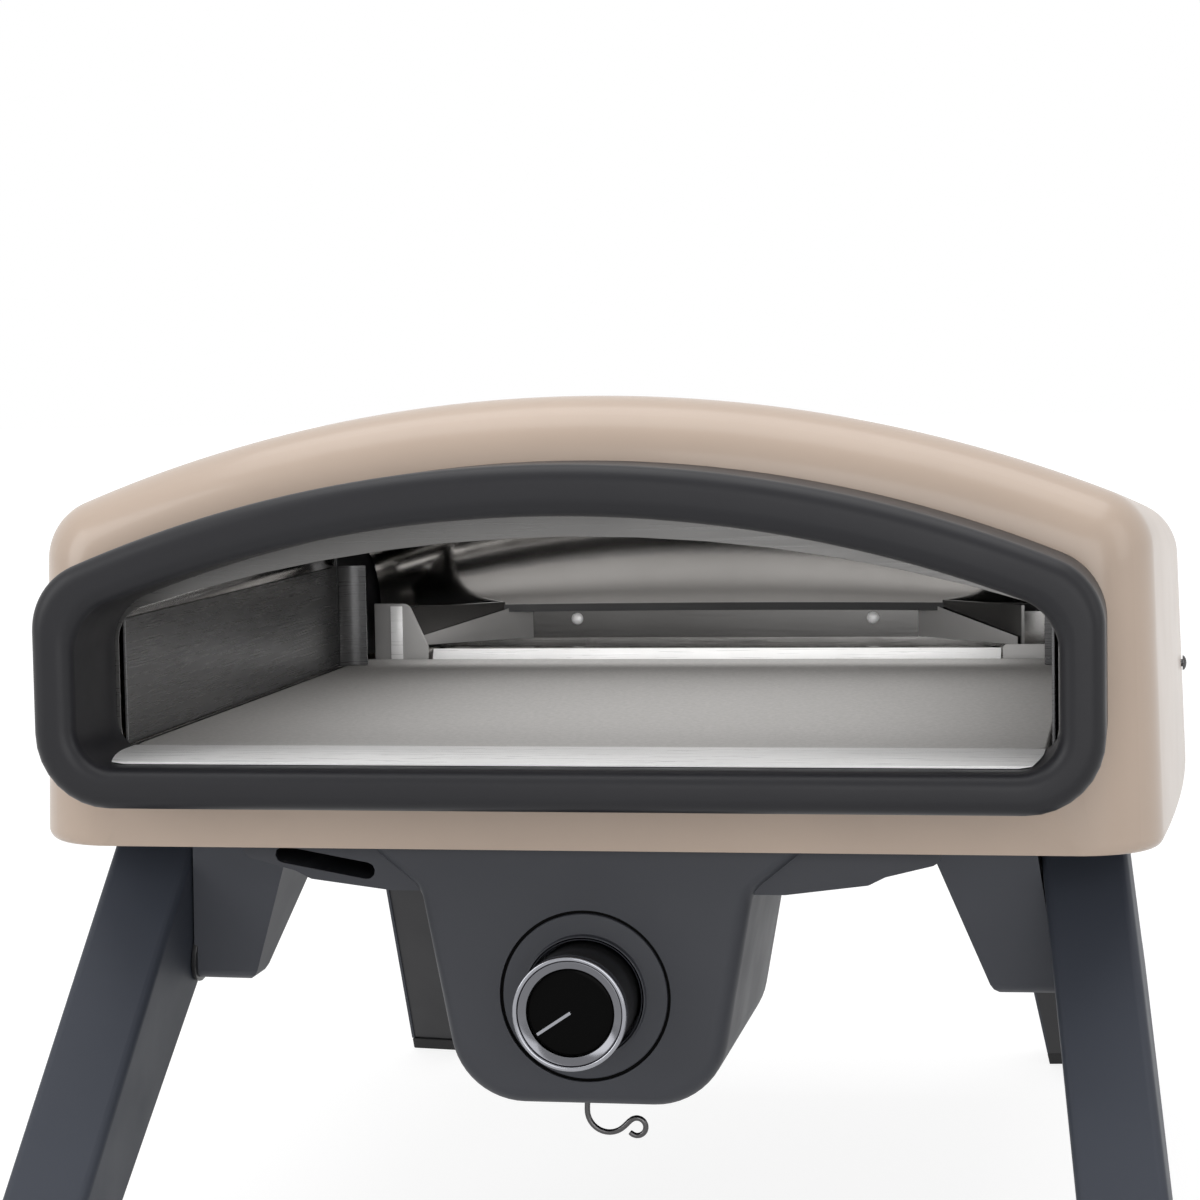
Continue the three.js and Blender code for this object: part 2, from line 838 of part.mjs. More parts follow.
function boxOutline(offset, top) {
  const shift = offset * Math.hypot(1, box.slope);
  const topHalf = box.topHalf - shift + box.slope * (top - hangTop);
  const bottomHalf = box.topHalf - box.slope * (box.height - offset) - shift;
  const bottom = boxBottom + offset;
  return rounded([
    [-bottomHalf, bottom, box.corner - offset],
    [bottomHalf, bottom, box.corner - offset],
    [topHalf, top, 0],
    [-topHalf, top, 0],
  ], bendSteps);
}

function controlBox() {
  const rings = [];
  for (let i = 0; i <= rollSteps; i++) {
    const turn = (Math.PI / 2) * (i / rollSteps);
    const y = box.front + box.edge * (1 - Math.cos(turn));
    rings.push(ringAt(boxOutline(box.edge * (1 - Math.sin(turn)), hangTop), y));
  }
  rings.push(ringAt(boxOutline(0, hangTop), boxBack));
  const hollow = shapeOf(boxOutline(box.wall, hangTop + overrun));
  const front = box.front + box.wall;
  const back = boxBack - box.wall;
  return cut(
    loft(rings),
    alongY(hollow, front, back),
    rodY(dial.plate + dial.groove, box.front - overrun, front + overrun, 0, knobZ, roundSteps * 2),
    rodY(inlet.radius + runningGap, back - overrun, boxBack + overrun, 0, knobZ - pipe.inletDrop),
    hookHole(),
  );
}

function hookHole() {
  const radius = hook.wire + runningGap;
  const hole = new THREE.CylinderGeometry(radius, radius, 2 * overrun, smallRoundSteps);
  return hole.rotateX(Math.PI / 2).translate(hook.x, hook.y, boxBottom);
}

// Dial plate: a flush disc with a raised rim round the knob's well
function dialPlate() {
  const face = box.front;
  const behind = face + dial.plateDepth;
  const flangeBack = behind + dial.flangeDepth;
  const wellFloor = face + dial.wellDepth;
  return turnedY([
    [dial.well, face - dial.rimRise], [dial.well, wellFloor - dial.floor],
    [dial.stemHole, wellFloor - dial.floor], [dial.stemHole, wellFloor],
    [dial.well + dial.floor, wellFloor], [dial.well + dial.floor, flangeBack],
    [dial.flange, flangeBack], [dial.flange, behind], [dial.plate, behind], [dial.plate, face],
    [dial.rimOuter, face], [dial.rimOuter, face - dial.rimRise], [dial.well, face - dial.rimRise],
  ].reverse(), 0, knobZ, roundSteps * 2);
}

const knobFront = box.front - knob.standout;
const knobBack = box.front + knob.seat;

function knobBody() {
  const recessFloor = knobFront + knob.recessDepth;
  const boreEnd = knobBack - knob.boreDepth;
  const bore = stem.radius + runningGap;
  return turnedY([
    [0, recessFloor], [0, boreEnd], [bore, boreEnd], [bore, knobBack], [knob.backRadius, knobBack],
    [knob.frontRadius, knobFront], [knob.recess, knobFront], [knob.recess, recessFloor], [0, recessFloor],
  ].reverse(), 0, knobZ);
}

function knobRing() {
  const back = knobFront - gap;
  const { ringDepth, ringOuter, ringEdge, recess } = knob;
  const front = back - ringDepth;
  const section = rounded([
    [recess, back, 0], [ringOuter, back, ringEdge / 2],
    [ringOuter, front, ringEdge], [recess, front, ringEdge],
  ], fineSteps);
  return turnedY([...section, section[0]].map(({ x, y }) => [x, y]).reverse(), 0, knobZ, roundSteps * 2);
}

function knobCap() {
  const back = knobFront + knob.recessDepth - gap;
  const front = knobFront - knob.ringEdge;
  return turnedY([[0, front], [knob.capRadius, front], [knob.capRadius, back], [0, back]], 0, knobZ);
}

function knobPointer() {
  const back = knobFront - knob.ringEdge - gap;
  const bar = block(
    0, knob.pointerLength, back - knob.pointerRise, back, -knob.pointerWidth / 2, knob.pointerWidth / 2,
  );
  return bar.rotateY(knob.pointerTurn).translate(0, 0, knobZ);
}

function valveStem() {
  const valveFront = box.front + valve.front;
  const tip = knobBack - knob.boreDepth + knob.travel + gap;
  return rodY(stem.radius, tip, valveFront + stem.tail, 0, knobZ, smallRoundSteps);
}

function valveBody() {
  const front = box.front + valve.front;
  const { half, height, edge, depth } = valve;
  const outline = rounded([
    [-half, knobZ - height / 2, edge], [half, knobZ - height / 2, edge],
    [half, knobZ + height / 2, edge], [-half, knobZ + height / 2, edge],
  ], fineSteps);
  return cut(
    alongY(shapeOf(outline), front, front + depth),
    rodY(stem.radius + runningGap, front - overrun, front + stem.tail + gap, 0, knobZ, smallRoundSteps),
  );
}

// Gas pipes: valve to mixing tube, and inlet fitting to valve
function gasPipe() {
  const start = box.front + valve.front + valve.depth + gap;
  const end = burnerY - venturi.reach - gap;
  const low = knobZ + pipe.outletRise;
  const corners = [[start, low], [pipe.climb, low], [pipe.climb, pipe.runZ], [end, pipe.runZ]];
  return tubeAlong(bentPath(corners, pipe.bend), pipe.radius, pipe.steps, pipe.sides);
}

function inletPipe() {
  const start = box.front + valve.front + valve.depth + gap;
  return rodY(pipe.radius, start, boxBack - inlet.reach - gap, 0, knobZ - pipe.inletDrop, smallRoundSteps);
}

function gasInlet() {
  const start = boxBack - inlet.reach;
  const nut = boxBack + gap;
  const nutBack = nut + inlet.nutLength;
  const end = boxBack + inlet.length;
  const { radius, bore } = inlet;
  return turnedY([
    [bore, start], [bore, end], [radius - gap, end], [radius - gap, nutBack], [inlet.nut, nutBack],
    [inlet.nut, nut], [radius, nut], [radius, start], [bore, start],
  ].reverse(), 0, knobZ - pipe.inletDrop, smallRoundSteps);
}

// Wire hook: a tang inside the box, a J below it and a small eye at the end
function wireHook() {
  const floor = boxBottom + box.wall + 2 * hook.wire;
  const jZ = boxBottom - hook.drop - hook.wire;
  const jX = hook.x + hook.radius;
  const sweep = Math.PI + hook.sweep;
  const jay = arc(jX, jZ, hook.radius, Math.PI, sweep, coilSteps);
  const heading = sweep + Math.PI / 2;
  const eyeStart = jay[jay.length - 1].clone();
  eyeStart.add(new THREE.Vector2(Math.cos(heading), Math.sin(heading)).multiplyScalar(hook.eye));
  const side = heading - Math.PI / 2;
  const eyeX = eyeStart.x + hook.eye * Math.cos(side);
  const eyeZ = eyeStart.y + hook.eye * Math.sin(side);
  const eye = arc(eyeX, eyeZ, hook.eye, side + Math.PI, side - hook.curl, coilSteps);
  const tang = [
    new THREE.Vector2(hook.x - hook.tang, floor), new THREE.Vector2(hook.x - hook.wire * 2, floor),
    new THREE.Vector2(hook.x, floor - hook.wire * 2),
  ];
  const points = [...tang, ...jay, ...eye].map((p) => new THREE.Vector3(p.x, hook.y, p.y));
  const path = new THREE.CatmullRomCurve3(points, false, 'catmullrom');
  return tubeAlong(path, hook.wire, hook.steps, hook.sides);
}

// Legs: drawn in a plane that leans outwards, with the hinge at its origin.
// u runs down the leg from the hinge and v from the hinge to the leg's face.
function legPlace(side, pivot) {
  return new THREE.Matrix4()
    .makeTranslation(side * pivot.x, pivot.y, pivotZ)
    .multiply(new THREE.Matrix4().makeRotationY(-side * leg.tilt));
}

function onLeg(facing, u, v) {
  const s = Math.sin(leg.lean);
  const c = Math.cos(leg.lean);
  return new THREE.Vector2(facing * (s * u + c * v), s * v - c * u);
}

function legOutline(facing, inset = 0) {
  const { face, topRadius, topRear, heel, footRear, reach } = leg;
  const rim = topRadius - inset;
  const front = face - inset;
  const top = arc(
    0, 0, rim, Math.acos(-Math.sqrt(rim ** 2 - front ** 2) / rim),
    Math.PI - Math.asin((topRear + inset) / rim), cornerSteps,
  );
  const back = arc(0, 0, heel - inset, leg.heelFrom, leg.heelTo, cornerSteps);
  const uv = [...top, ...back, new THREE.Vector2(reach, footRear + inset), new THREE.Vector2(reach, front)];
  return uv.map((p) => onLeg(facing, p.x, p.y));
}

// A prism along the leg, from a section in [across, v]
function alongLeg(section, facing) {
  const length = leg.reach + leg.topRadius;
  const prism = new THREE.ExtrudeGeometry(shapeOf(section), { depth: 2 * length, bevelEnabled: false });
  const across = new THREE.Vector3(1, 0, 0);
  const v = onLeg(facing, 0, 1);
  const face = new THREE.Vector3(0, v.x, v.y);
  const along = across.clone().cross(face);
  const turn = new THREE.Matrix4().makeBasis(across, face, along);
  return prism.translate(0, 0, -length).applyMatrix4(turn);
}

function legSection(side, inset, open) {
  const { width, face, edge, wall } = leg;
  const back = -leg.topRadius;
  const spans = ([from, to]) => (side > 0 ? [from, to] : [-to, -from]);
  const [x0, x1] = spans([inset, width - inset]);
  const outer = rounded([
    [x0, back, 0], [x1, back, 0], [x1, face - inset, edge], [x0, face - inset, edge],
  ], edgeSteps);
  if (!open) return outer;
  const [i0, i1] = spans([wall, width - wall]);
  const inner = rounded([
    [i0, back, 0], [i0, face - wall, edge - wall], [i1, face - wall, edge - wall], [i1, back, 0],
  ], edgeSteps);
  return [...outer.slice(1), outer[0], ...inner];
}

function legBar(side, facing, inset, open) {
  const section = solid(alongLeg(legSection(side, inset, open), facing));
  const reach = 2 * leg.width;
  return section.intersect(solid(alongX(shapeOf(legOutline(facing, inset)), -reach, reach)));
}

function onGround(body, side, pivot, from, to) {
  const reach = 2 * leg.reach;
  const placed = body.transform(legPlace(side, pivot).elements);
  const x = side * pivot.x;
  return placed.intersect(solid(block(x - reach, x + reach, pivot.y - reach, pivot.y + reach, from, to)));
}

function legChannel(side, facing, pivot) {
  const hole = rodX(bolt.radius + runningGap, -side * leg.wall, 2 * side * leg.wall, 0, 0, smallRoundSteps);
  const body = legBar(side, facing, 0, true).subtract(solid(hole));
  return onGround(body, side, pivot, leg.footHeight, bodyTop);
}

function footPad(side, facing, pivot) {
  const pad = onGround(legBar(side, facing, 0, false), side, pivot, 0, leg.footHeight - gap);
  const plug = onGround(
    legBar(side, facing, leg.wall + gap, false), side, pivot,
    leg.footHeight - 2 * gap, leg.footHeight + leg.plug,
  );
  return pad.add(plug);
}

function pivotBolt(side, pivot) {
  const seat = leg.wall + gap;
  const head = rodX(bolt.head, side * seat, side * (seat + bolt.headDepth), 0, 0, hexSides);
  const shank = rodX(bolt.radius, side * (seat + gap), -side * bolt.grip, 0, 0, smallRoundSteps);
  return solid(head).add(solid(shank)).transform(legPlace(side, pivot).elements);
}

function legWasher(side, pivot) {
  const { radius, thickness } = washer;
  const ring = cut(
    rodX(radius, -side * gap, -side * (gap + thickness), 0, 0),
    rodX(bolt.radius + runningGap, side * overrun, -side * (thickness + overrun), 0, 0, smallRoundSteps),
  );
  return ring.transform(legPlace(side, pivot).elements);
}

// Bracket: a box open at the top that tapers in both views, with the leg's stop
function bracketBlock(side, facing, pivot, inset, top) {
  const standoff = (washer.thickness + 2 * gap + inset) / Math.cos(leg.tilt);
  const lean = Math.tan(leg.tilt);
  const bottom = pivotZ - bracket.bottom + inset;
  const outerX = (z) => pivot.x - standoff - (z - pivotZ) * lean;
  const corner = bracket.corner - inset;
  const front = rounded([
    [side * (outerX(bottom) - bracket.bottomWidth + 2 * inset), bottom, corner],
    [side * outerX(bottom), bottom, 0],
    [side * outerX(top), top, 0],
    [side * (outerX(top) - bracket.topWidth + 2 * inset), top, 0],
  ], edgeSteps);
  const y = (offset) => pivot.y + facing * offset;
  const profile = rounded([
    [y(bracket.frontTop - inset), top, 0],
    [y(bracket.frontBottom - inset), bottom, corner],
    [y(inset - bracket.rearBottom), bottom, corner],
    [y(inset - bracket.rearTop), top, 0],
  ], edgeSteps);
  const reach = leg.reach;
  return solid(alongY(shapeOf(front), pivot.y - reach, pivot.y + reach))
    .intersect(solid(alongX(shapeOf(profile), side * pivot.x - reach, side * pivot.x + reach)));
}

function legBracket(side, facing, pivot) {
  const { front, depth } = tray;
  const standoff = washer.thickness + 2 * gap;
  const place = legPlace(side, pivot).elements;
  const bore = rodX(bolt.radius + gap, side * overrun, -side * (bolt.grip + gap), 0, 0, smallRoundSteps);
  const trayRoom = alongY(shapeOf(trayOutline(-gap, hangTop + overrun)), front - gap, front + depth + gap);
  return bracketBlock(side, facing, pivot, 0, hangTop)
    .subtract(bracketBlock(side, facing, pivot, bracket.wall, hangTop + overrun))
    .subtract(solid(bore).transform(place))
    .subtract(solid(trayRoom))
    .add(stopPin(side, facing, standoff).transform(place));
}

function stopPin(side, facing, standoff) {
  const top = new THREE.Vector2(-Math.sqrt(leg.topRadius ** 2 - leg.topRear ** 2), leg.topRear);
  const heel = new THREE.Vector2(Math.cos(leg.heelFrom), Math.sin(leg.heelFrom)).multiplyScalar(leg.heel);
  const along = heel.clone().sub(top).normalize();
  const rear = new THREE.Vector2(along.y, -along.x);
  const spot = top.clone().lerp(heel, bracket.stopShare);
  spot.addScaledVector(rear, bracket.stopRadius + gap);
  const at = onLeg(facing, spot.x, spot.y);
  const from = -side * (standoff + bracket.wall / 2);
  return solid(rodX(bracket.stopRadius, from, side * bracket.stopReach, at.x, at.y, smallRoundSteps));
}

// Rear panel with air slots, and screws
function rearPanelPlate() {
  const { thickness, vent, ventRoundShare, ventLength, ventPitch, ventRows, ventGap, rise } = rearPanel;
  const back = bodyBack + gap;
  const half = vent / 2;
  const corner = half * ventRoundShare;
  const slots = [];
  for (let row = 0; row < ventRows; row++) {
    for (const column of [-1, 0, 1]) {
      const left = column * (ventLength + ventGap) - ventLength / 2;
      const right = left + ventLength;
      const z = baseHeight + shell.lip + rise + row * ventPitch;
      const outline = rounded([
        [left, z - half, corner], [right, z - half, corner],
        [right, z + half, corner], [left, z + half, corner],
      ], fineSteps);
      slots.push(alongY(shapeOf(outline), back - overrun, back + overrun));
    }
  }
  const holes = rearScrewPlaces().map(([x, z]) => rodY(
    screw.shank + runningGap, back - overrun, back + overrun, x, z, smallRoundSteps,
  ));
  return cut(alongY(shapeOf(rearOutline(0)), back, back + thickness), ...slots, ...holes);
}

function rearScrewPlaces() {
  const low = baseHeight + shell.lip + rearPanel.overlap;
  const side = halfWidthAt(bodyBack) - shell.roll - screw.inset;
  return [[-side, low], [side, low], [-side, low + screw.pitch], [side, low + screw.pitch]];
}

// A round-headed screw standing on the origin, pointing up +Y
function screwAt() {
  const { head, rise, shank, length } = screw;
  const crown = new THREE.EllipseCurve(0, 0, head, rise, 0, Math.PI / 2).getPoints(edgeSteps);
  const end = [new THREE.Vector2(0, -length), new THREE.Vector2(shank, -length), new THREE.Vector2(shank, 0)];
  return new THREE.LatheGeometry([...end, ...crown], screwSteps);
}

function rearScrew([x, z]) {
  return screwAt().translate(x, bodyBack + 2 * gap + rearPanel.thickness, z);
}

function sideScrewPlaces() {
  const x = halfWidthAt(screw.sideY) - shell.lean * (screw.sideHeight / bodyHeight);
  return [-1, 1].map((side) => ({ side, x: side * x }));
}

function sideScrew({ side, x }) {
  const head = screwAt().rotateZ((-side * Math.PI) / 2);
  return head.translate(x + side * gap, screw.sideY, baseHeight + screw.sideHeight);
}

// The oven, piece by piece
add('outer_shell', outerShell(), enamel);
add('mouth_frame', mouthFrame(), charcoal);
add('front_baffle', frontBaffle(), steel);
add('mouth_sill', mouthSill(), steel);
add('pizza_stone', pizzaStone(), stoneClay);
add('stone_tray', stoneTray(), steel);
add('left_side_liner', sideLiner(-1), darkSteel);
add('right_side_liner', sideLiner(1), darkSteel);
add('inner_dome', innerDome(), steel);
add('insulation_blanket', insulation(), wool);
add('rear_liner', rearLiner(), steel);
add('burner_tube', burnerTube(), steel);
add('burner_shroud', burnerShroud(), steel);
add('burner_tray', tailTray(), steel);
add('burner_bracket_left', burnerBracket(-1, guard.height), steel);
add('burner_bracket_right', burnerBracket(1, guard.footHeight), steel);
add('igniter_electrode', probe(-shroud.holeX), stoneClay);
add('flame_sensor', probe(shroud.holeX), steel);
add('mixing_tube', mixingTube(), brass);
add('base_plate', basePlate(), darkSteel);
add('bottom_tray', bottomTray(), charcoal);
add('control_box', controlBox(), charcoal);
add('dial_plate', dialPlate(), charcoal);
add('knob_body', knobBody(), blackPlastic);
add('knob_ring', knobRing(), chrome);
add('knob_cap', knobCap(), blackGloss);
add('knob_pointer', knobPointer(), chrome);
add('valve_stem', valveStem(), brass);
add('valve_body', valveBody(), brass);
add('gas_pipe', gasPipe(), brass);
add('inlet_pipe', inletPipe(), brass);
add('gas_inlet', gasInlet(), brass);
add('wire_hook', wireHook(), darkSteel);
add('rear_panel', rearPanelPlate(), charcoal);
const rearCorners = ['lower_left', 'lower_right', 'upper_left', 'upper_right'];
rearScrewPlaces().forEach((place, i) => add(`rear_screw_${rearCorners[i]}`, rearScrew(place), steel));
sideScrewPlaces().forEach((place, i) => add(`side_screw_${['left', 'right'][i]}`, sideScrew(place), steel));

for (const [corner, side, facing, pivot] of [
  ['front_left', -1, -1, frontPivot],
  ['front_right', 1, -1, frontPivot],
  ['rear_left', -1, 1, rearPivot],
  ['rear_right', 1, 1, rearPivot],
]) {
  add(`bracket_${corner}`, legBracket(side, facing, pivot), charcoal);
  add(`washer_${corner}`, legWasher(side, pivot), steel);
  add(`pivot_bolt_${corner}`, pivotBolt(side, pivot), steel);
  add(`leg_${corner}`, legChannel(side, facing, pivot), legPaint);
  add(`foot_${corner}`, footPad(side, facing, pivot), rubber);
}

// Origin on the ground under the middle of the footprint
const footing = new THREE.Box3().setFromObject(oven);
oven.position.y = -(footing.min.y + footing.max.y) / 2;

export default oven;
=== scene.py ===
"""Portable pizza oven: the visual model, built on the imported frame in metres."""
import json
import math

import bmesh
import bpy
from mathutils import Matrix, Vector

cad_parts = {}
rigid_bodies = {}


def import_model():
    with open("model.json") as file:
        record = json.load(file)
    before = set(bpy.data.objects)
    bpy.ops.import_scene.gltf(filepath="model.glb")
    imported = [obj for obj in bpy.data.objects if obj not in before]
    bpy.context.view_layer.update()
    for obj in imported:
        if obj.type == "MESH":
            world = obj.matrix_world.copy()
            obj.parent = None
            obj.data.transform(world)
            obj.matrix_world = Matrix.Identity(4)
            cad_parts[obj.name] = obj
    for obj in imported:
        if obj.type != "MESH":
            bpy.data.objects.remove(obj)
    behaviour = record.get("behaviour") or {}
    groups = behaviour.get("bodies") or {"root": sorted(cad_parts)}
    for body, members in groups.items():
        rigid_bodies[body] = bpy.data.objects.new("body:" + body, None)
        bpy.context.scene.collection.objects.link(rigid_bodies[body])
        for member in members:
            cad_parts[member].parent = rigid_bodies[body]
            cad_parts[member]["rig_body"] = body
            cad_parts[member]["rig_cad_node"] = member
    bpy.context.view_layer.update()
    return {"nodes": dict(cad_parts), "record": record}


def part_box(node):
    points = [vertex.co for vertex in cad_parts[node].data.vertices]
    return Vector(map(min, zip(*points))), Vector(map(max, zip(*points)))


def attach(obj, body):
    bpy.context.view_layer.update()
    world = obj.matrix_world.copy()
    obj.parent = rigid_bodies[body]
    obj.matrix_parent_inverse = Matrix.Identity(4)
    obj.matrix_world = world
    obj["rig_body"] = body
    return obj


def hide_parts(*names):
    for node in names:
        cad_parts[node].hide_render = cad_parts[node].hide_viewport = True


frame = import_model()

bl_info = {
    "name": "Portable pizza oven",
    "version": (1, 0, 0),
    "blender": (4, 5, 0),
    "location": "View3D > Sidebar > Pizza oven",
    "description": "Builds the visual model of a portable gas pizza oven",
    "category": "Add Mesh",
}

MM = 0.001
NODES = frame["nodes"]
SIDES = (("left", -1), ("right", 1))
CORNERS = ("front_left", "front_right", "rear_left", "rear_right")

# The drawing is in millimetres, and its y = 0 is the face of the mouth frame
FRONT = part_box("mouth_frame")[0][1]

# Steps of the curves, and how near two points lie that are merged, in metres
CORNER_STEPS, SHOULDER_STEPS, ROLL_STEPS = 8, 14, 14
ROUND_STEPS = 128
SKIN_MERGE, TURNED_MERGE, NODE_MERGE = 1e-6, 2e-6, 1e-5
KEYS_PER_METRE = 1e7

# The body: its plan bulges, its top falls to the back, and its sides lean in
BODY_FRONT, BODY_BACK = 60, 600
BODY_BOTTOM, BODY_TOP = 240, 452
BODY_HALF, WIDEST_Y, PLAN_REACH = 283, 416.4, 326.4
FRONT_NARROWING, REAR_NARROWING = 13.5, 18
TOP_RADIUS, TOP_FALL, FALL_START = 660, 24, 90
SHOULDER, SHOULDER_SHRINK = 30, 0.65
SIDE_LEAN, LEAN_REACH = 4, 30

# The mouth frame's outlines
FRAME_WIDTH = 20
FRAME_OUTER = {"half": 244.5, "bottom": 266, "top": 422.4, "arch_radius": 593, "corner": 35,
               "shoulder": 32, "hem": 60}
FRAME_INNER = {"half": 224.5, "bottom": 285, "top": 399, "arch_radius": 588, "corner": 18,
               "shoulder": 25, "hem": 60}

# The hood behind the burner, and the ceiling that it starts from
THIN_SHEET = 0.8 * MM
HOOD_LOW, HOOD_FRONT, HOOD_HALF = 315.5, 470, 216
HOOD_DEPTH, HOOD_BOW = 90.5, 22
CEILING_TOP, CEILING_RADIUS = 407.6, 558.5

# The control box, seen from the front, and the knob's axis
BOX_BOTTOM, BOX_WAIST, BOX_TOP = 116, 219, 241.6
BOX_HALF, BOX_HALF_Z, BOX_TAPER, BOX_FLARE = 84.4, 242, 0.184, 28
KNOB_Z = 169

# The legs' pivots, on the right side, their outward tilt and the rear ones' rake
FRONT_PIVOT, REAR_PIVOT = (219, 163, 170), (175, 530, 170)
LEG_TILT, REAR_RAKE = math.radians(7.5), math.radians(37.7)

# Scales of the brush lines' noise along each axis, low along the lines and high across them
LINES_ALONG_X, LINES_ALONG_Y, LEVEL_LINES = (6, 260, 260), (260, 6, 260), (6, 6, 260)
EVEN_GRAIN, TURNED_LINES = (40, 40, 40), (200, 12, 200)
WHITE = (1, 1, 1, 1)


def length(name, description, default):
    """A size property in metres."""
    return bpy.props.FloatProperty(
        name=name, description=description, default=default, min=0.0,
        subtype="DISTANCE", unit="LENGTH")


def colour(name, description, default):
    """A colour property."""
    return bpy.props.FloatVectorProperty(
        name=name, description=description, default=default, size=3, min=0.0, max=1.0,
        subtype="COLOR")


class PizzaOvenSizes(bpy.types.PropertyGroup):
    """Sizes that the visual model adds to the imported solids."""

    wall: length("Shell wall", "Thickness of the enamelled skin", 2 * MM)
    roll: length("Rolled edge", "Radius of the skin's rolled front and back edges", 30 * MM)
    lip: length("Bottom lip", "Width of the lip turned in under the body", 9 * MM)
    frame_edge: length("Frame edge", "Rounding of the mouth frame's front edges", 7.5 * MM)
    sheet_edge: length("Sheet edge", "Softened edge of pressed sheet pieces", 0.35 * MM)
    casting_edge: length("Bracket edge", "Softened edge of the leg brackets", 1.2 * MM)
    arc_steps: bpy.props.IntProperty(
        name="Arc steps", description="Steps along the arched top", default=56, min=8, max=200)


class PizzaOvenColours(bpy.types.PropertyGroup):
    """Colours of the oven's finishes."""

    enamel: colour("Enamel", "Glossy beige coat of the body", (0.435, 0.34, 0.272))
    charcoal: colour("Charcoal", "Satin coat of box, tray and brackets", (0.041, 0.0432, 0.0508))
    frame_coat: colour("Frame coat", "Darker satin coat of the mouth frame", (0.013, 0.013, 0.0155))
    leg_paint: colour("Leg paint", "Bluish satin coat of the legs", (0.034, 0.039, 0.052))
    steel: colour("Stainless steel", "Bare stainless sheet", (0.62, 0.61, 0.6))
    dark_steel: colour("Dark steel", "Heat darkened sheet", (0.09, 0.088, 0.09))
    stone: colour("Stone", "Matt cordierite slab", (0.42, 0.41, 0.4))
    rubber: colour("Rubber", "Feet", (0.02, 0.02, 0.021))


def sizes():
    return bpy.context.scene.pizza_oven_sizes


def colours():
    return bpy.context.scene.pizza_oven_colours


# Outlines
def at(x, y, z):
    """A point of the drawing, in metres of the frame."""
    return Vector((x * MM, FRONT + y * MM, z * MM))


def arc(cx, cz, radius, start, end, steps):
    """Points along a circle from one angle to another."""
    turns = [start + (end - start) * i / steps for i in range(steps + 1)]
    return [(cx + radius * math.cos(t), cz + radius * math.sin(t)) for t in turns]


def quarter_turns(steps):
    """Angles from nought to a right angle."""
    return [math.pi / 2 * i / steps for i in range(steps + 1)]


def arched(half, bottom, top, arch_radius, corner, shoulder, lean=0.0, hem=0.0):
    """Flat bottom with two points set in by the hem, straight sides and an arched top."""
    side_top = half - lean
    arch_z = top - arch_radius
    shoulder_x = side_top - shoulder
    shoulder_z = arch_z + math.sqrt((arch_radius - shoulder) ** 2 - shoulder_x ** 2)
    turn = math.atan2(shoulder_z - arch_z, shoulder_x)
    foot = half - corner
    least_hem = 0.5
    inner = foot - max(hem - corner, least_hem)
    steps = sizes().arc_steps
    return ([(inner, bottom)]
            + arc(foot, bottom + corner, corner, -math.pi / 2, 0, CORNER_STEPS)
            + arc(shoulder_x, shoulder_z, shoulder, 0, turn, SHOULDER_STEPS)
            + arc(0, arch_z, arch_radius, turn, math.pi - turn, steps)[1:-1]
            + arc(-shoulder_x, shoulder_z, shoulder, math.pi - turn, math.pi, SHOULDER_STEPS)
            + arc(-foot, bottom + corner, corner, math.pi, math.pi * 1.5, CORNER_STEPS)
            + [(-inner, bottom)])


def between(a, b, portion):
    """The outline that lies a portion of the way from one to the other."""
    return [(p[0] + (q[0] - p[0]) * portion, p[1] + (q[1] - p[1]) * portion) for p, q in zip(a, b)]


def frame_outline(portion):
    """From the mouth frame's outer outline at 0 to its inner one at 1."""
    return between(arched(**FRAME_OUTER), arched(**FRAME_INNER), portion)


def half_width(y):
    """The body's half width, widest behind its middle."""
    narrowing = FRONT_NARROWING if y < WIDEST_Y else REAR_NARROWING
    return BODY_HALF - narrowing * ((y - WIDEST_Y) / PLAN_REACH) ** 2


def crown(y):
    """Height of the body's top, level over the front roll and falling to the back."""
    return BODY_TOP - TOP_FALL * max(0.0, (y - FALL_START) / (BODY_BACK - FALL_START))


def body_section(y, offset, bottom=BODY_BOTTOM, corner=6, hem=9):
    """The body's outline at y, drawn in by the offset where its ends roll in."""
    half, top = half_width(y) - offset, crown(y) - offset
    shoulder = SHOULDER - SHOULDER_SHRINK * offset
    lean = SIDE_LEAN * max(0.0, 1 - offset / LEAN_REACH)
    return arched(half, bottom, top, TOP_RADIUS - offset, corner, shoulder, lean, hem)


# Modelling steps
def clear_selection():
    if bpy.context.mode != "OBJECT":
        bpy.ops.object.mode_set(mode="OBJECT")
    bpy.ops.object.select_all(action="DESELECT")


def select_only(obj):
    """Leaves one object selected and active, in object mode."""
    clear_selection()
    obj.select_set(True)
    bpy.context.view_layer.objects.active = obj


def start_ring(name, points):
    """A circle shaped into the first ring, left in edit mode with its edges selected."""
    clear_selection()
    bpy.ops.mesh.primitive_circle_add(vertices=len(points), radius=1.0, fill_type="NOTHING")
    obj = bpy.context.object
    obj.name = obj.data.name = name
    bpy.ops.object.mode_set(mode="EDIT")
    bpy.ops.mesh.select_mode(type="VERT")
    bpy.ops.mesh.select_all(action="SELECT")
    mesh = bmesh.from_edit_mesh(obj.data)
    for vertex, point in zip(mesh.verts, points):
        vertex.co = point
    bmesh.update_edit_mesh(obj.data)
    return obj


def key(point):
    """A point's place in whole steps, by which it is found again."""
    return tuple(round(c * KEYS_PER_METRE) for c in point)


def extrude_ring(obj, before, after):
    """Extrudes the selected ring of edges and shapes the new one."""
    bpy.ops.mesh.extrude_edges_move()
    mesh = bmesh.from_edit_mesh(obj.data)
    places = {key(p): q for p, q in zip(before, after)}
    for vertex in [v for v in mesh.verts if v.select]:
        vertex.co = places[key(vertex.co)]
    bmesh.update_edit_mesh(obj.data)


